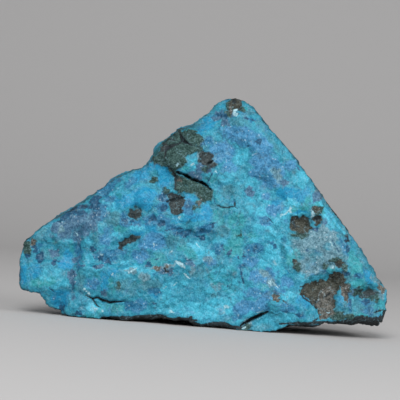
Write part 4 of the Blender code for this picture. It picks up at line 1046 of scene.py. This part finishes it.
def stone_material(colours):
    """One surface of all the minerals, laid over each other by the shares stored on the mesh."""
    material = bpy.data.materials.new("chrysocolla_surface")
    bench = NodeBench(material)
    spot = bench.add("ShaderNodeTexCoord").outputs["Object"]
    swirl = bench.bent(spot, SWIRL_SIZE, SWIRL_REACH)
    drift = bench.noise(swirl, DRIFT)
    mottle = bench.noise(swirl, MOTTLE)
    speck = bench.noise(spot, SPECK)
    fine = bench.noise(spot, FINE)
    small_grain, large_grain = (bench.cell_tone(spot, size) for size in GRAIN_CELLS)
    cell_tone = bench.mix_value(LARGE_GRAINS, small_grain, large_grain)
    # Painted light and shade: the tone goes up on ridges and down in hollows.
    ridge = bench.math("MULTIPLY", bench.attribute("ridge"), RIDGE_LIGHT_AND_SHADE)
    blended = bench.mix_value(SPECK_SHARE, bench.mix_value(DRIFT_SHARE, mottle, drift), speck)
    smooth_tone = bench.sum(bench.step(blended, *TONE_RANGE), ridge)
    grain_tone = bench.sum(cell_tone, ridge)
    colour = None
    roughness = None
    grain = None
    for name, mineral in MINERALS.items():
        tone = bench.mix_value(mineral.grain * GRAIN_SHARE, smooth_tone, grain_tone)
        paint = bench.ramp(tone, list(zip(TONE_STOPS, tones(mineral, colours[name]))))
        if colour is None:
            colour, roughness, grain = paint, mineral.roughness, mineral.grain
            continue
        share = bench.attribute(name)
        border = bench.math("MULTIPLY", share, bench.math("SUBTRACT", 1.0, share))
        fray = bench.math("MULTIPLY", bench.math("SUBTRACT", fine, 0.5), mineral.ragged * FINE_FRAY)
        share = bench.sum(share, bench.math("MULTIPLY", border, fray))
        share = bench.step(share, 0.0, 1.0)
        colour = bench.mix(share, colour, paint)
        roughness = bench.mix_value(share, roughness, mineral.roughness)
        grain = bench.mix_value(share, grain, mineral.grain)
    for kind in (HAIRS, VEINS):
        colour = crackle(bench, spot, colour, kind)
    # Painted shade: the colour is darkened on the rim that turns away from the front.
    rim = bench.math("SUBTRACT", 1.0, bench.math("MULTIPLY", bench.attribute("rim"), RIM_PAINTED_SHADE))
    shaded = bench.add("ShaderNodeVectorMath", {"operation": "SCALE"}, slot_0=colour, Scale=rim)
    # Painted highlights: a few grains on grainy ground are lightened towards the glint colour.
    glint = bench.step(bench.cell_tone(spot, GLINT_CELL), *GLINT_RANGE)
    glint = bench.math("MULTIPLY", glint, bench.step(grain, *GLINT_GROUND))
    colour = bench.mix(bench.math("MULTIPLY", glint, GLINT_SHARE), shaded.outputs[0], GLINT_COLOUR)
    bench.set(bench.shader, "Base Color", colour)
    bench.set(bench.shader, "Roughness", roughness)
    bench.set(bench.shader, "Specular IOR Level", SPECULAR)
    height = bench.sum(
        bench.math("MULTIPLY", speck, BUMP_SPECK),
        bench.math("MULTIPLY", bench.math("MULTIPLY", cell_tone, grain), BUMP_GRAIN),
    )
    bump = bench.add("ShaderNodeBump", Strength=BUMP_STRENGTH, Distance=BUMP_HEIGHT * MM, Height=height)
    bench.set(bench.shader, "Normal", bump.outputs[0])
    return material


def colour_property(name, mineral):
    return FloatVectorProperty(
        name=mineral.label,
        description="Main colour of the " + mineral.label.lower(),
        subtype="COLOR",
        size=3,
        min=0.0,
        max=1.0,
        default=linear(mineral.colour),
    )


class StoneSettings(bpy.types.PropertyGroup):
    """Sizes and colours of the stone's surface."""

    triangles: IntProperty(
        name="Triangles",
        description="Most triangles in the stone's surface",
        default=194000,
        min=20000,
        max=199000,
    )
    relief: FloatProperty(
        name="Relief",
        description="Strength of the small break facets, the grain and the rough edges",
        default=1.0,
        min=0.0,
        max=2.0,
    )


for mineral_name, mineral_kind in MINERALS.items():
    StoneSettings.__annotations__["colour_" + mineral_name] = colour_property(mineral_name, mineral_kind)


class StageSettings(bpy.types.PropertyGroup):
    """Colour of the paper and lights of the stage."""

    paper: FloatVectorProperty(
        name="Paper",
        description="Colour of the floor and backdrop",
        subtype="COLOR",
        size=3,
        min=0.0,
        max=1.0,
        default=linear(PAPER),
    )
    key: FloatProperty(
        name="Key light",
        description="Power of the main soft light",
        default=13.0,
        unit="POWER",
    )
    fill: FloatProperty(name="Fill", description="Strength of the light from all round", default=0.38)


class CHRYSOCOLLA_OT_stone(bpy.types.Operator):
    """Build the stone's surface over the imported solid"""

    bl_idname = "chrysocolla.stone"
    bl_label = "Stone"

    def execute(self, context):
        settings = context.scene.chrysocolla_stone
        mesh = fine_skin(settings.triangles)
        points = mesh_points(mesh)
        normals = mesh_points(mesh, "normal")
        shares = mineral_shares(points, normals)
        moved = relief(points, normals, shares, settings.relief) * MM
        points = keep_in_box(points + moved)
        mesh.vertices.foreach_set("co", points.ravel())
        mesh.update()
        for name, values in shares.items():
            store(mesh, name, values)
        # Where painted light and shade go: ridges and hollows, and the rim turned away from the front.
        store(mesh, "ridge", ridges(mesh, points))
        store(mesh, "rim", painted_rim_shade(points, normals))
        mesh.shade_smooth()
        colours = {name: getattr(settings, "colour_" + name) for name in MINERALS}
        mesh.materials.clear()
        mesh.materials.append(stone_material(colours))
        stone = link(bpy.data.objects.new("chrysocolla_stone", mesh))
        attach(stone, "root")
        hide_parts(NODE)
        return {"FINISHED"}


def plain_material(name, colour, roughness):
    material = bpy.data.materials.new(name)
    material.use_nodes = True
    shader = material.node_tree.nodes["Principled BSDF"]
    shader.inputs["Base Color"].default_value = (*colour, 1)
    shader.inputs["Roughness"].default_value = roughness
    return material


def paper_sweep(material):
    """Floor and backdrop in one sheet, curved up behind the stone."""
    front, back, bend, height, half_width = -1.6, 0.55, 0.35, 1.6, 1.8
    profile = [(front, 0.0)]
    for step in range(PAPER_BEND_STEPS + 1):
        angle = math.pi / 2 * step / PAPER_BEND_STEPS
        profile.append((back + bend * math.sin(angle), bend - bend * math.cos(angle)))
    profile.append((back + bend, height))
    vertices = [(x, y, z) for y, z in profile for x in (-half_width, half_width)]
    faces = [(2 * i, 2 * i + 1, 2 * i + 3, 2 * i + 2) for i in range(len(profile) - 1)]
    mesh = bpy.data.meshes.new("paper_sweep")
    mesh.from_pydata(vertices, [], faces)
    mesh.shade_smooth()
    mesh.materials.append(material)
    return link(bpy.data.objects.new("paper_sweep", mesh))


def soft_light(lamp, key_power):
    data = bpy.data.lights.new(lamp.name, "AREA")
    data.shape = "DISK"
    data.size = lamp.size
    data.energy = key_power * lamp.share
    light = link(bpy.data.objects.new(lamp.name, data))
    light.location = lamp.place
    light.rotation_euler = (Vector(LAMP_TARGET) - Vector(lamp.place)).to_track_quat("-Z", "Y").to_euler()


def photo_camera():
    """A level camera in front of the face, rolled so that the stone lies in the frame as photographed."""
    data = bpy.data.cameras.new("photo_camera")
    data.sensor_width = SENSOR
    data.lens = SENSOR * CAMERA_DISTANCE / VIEW_WIDTH
    camera = link(bpy.data.objects.new("photo_camera", data))
    place = face_to_frame(*CAMERA_CENTRE, -CAMERA_DISTANCE)
    upright = Matrix.Rotation(math.pi / 2, 4, "X")
    roll = Matrix.Rotation(-REST_TILT, 4, "Y")
    camera.matrix_world = Matrix.Translation(place) @ roll @ upright
    bpy.context.scene.camera = camera


class CHRYSOCOLLA_OT_stage(bpy.types.Operator):
    """Build the floor, the backdrop, the lights and the camera"""

    bl_idname = "chrysocolla.stage"
    bl_label = "Stage"

    def execute(self, context):
        settings = context.scene.chrysocolla_stage
        paper_sweep(plain_material("pale_paper", settings.paper, PAPER_ROUGHNESS))
        for lamp in LAMPS:
            soft_light(lamp, settings.key)
        world = bpy.data.worlds.new("soft_surroundings")
        world.use_nodes = True
        surroundings = world.node_tree.nodes["Background"]
        surroundings.inputs["Color"].default_value = (1.0, 1.0, 1.0, 1)
        surroundings.inputs["Strength"].default_value = settings.fill
        context.scene.world = world
        context.scene.view_settings.view_transform = "Standard"
        photo_camera()
        return {"FINISHED"}


class CHRYSOCOLLA_PT_panel(bpy.types.Panel):
    """Lists the stone and the stage"""

    bl_idname = "CHRYSOCOLLA_PT_panel"
    bl_label = "Chrysocolla"
    bl_space_type = "VIEW_3D"
    bl_region_type = "UI"
    bl_category = "Chrysocolla"

    def draw(self, context):
        layout = self.layout
        layout.operator(CHRYSOCOLLA_OT_stone.bl_idname)
        for name in StoneSettings.__annotations__:
            layout.prop(context.scene.chrysocolla_stone, name)
        layout.operator(CHRYSOCOLLA_OT_stage.bl_idname)
        for name in StageSettings.__annotations__:
            layout.prop(context.scene.chrysocolla_stage, name)


CLASSES = (StoneSettings, StageSettings, CHRYSOCOLLA_OT_stone, CHRYSOCOLLA_OT_stage, CHRYSOCOLLA_PT_panel)


def register():
    for kind in CLASSES:
        bpy.utils.register_class(kind)
    bpy.types.Scene.chrysocolla_stone = PointerProperty(type=StoneSettings)
    bpy.types.Scene.chrysocolla_stage = PointerProperty(type=StageSettings)


def unregister():
    del bpy.types.Scene.chrysocolla_stage
    del bpy.types.Scene.chrysocolla_stone
    for kind in reversed(CLASSES):
        bpy.utils.unregister_class(kind)


def main():
    register()
    bpy.ops.chrysocolla.stone()
    bpy.ops.chrysocolla.stage()


if __name__ == "__main__":
    main()
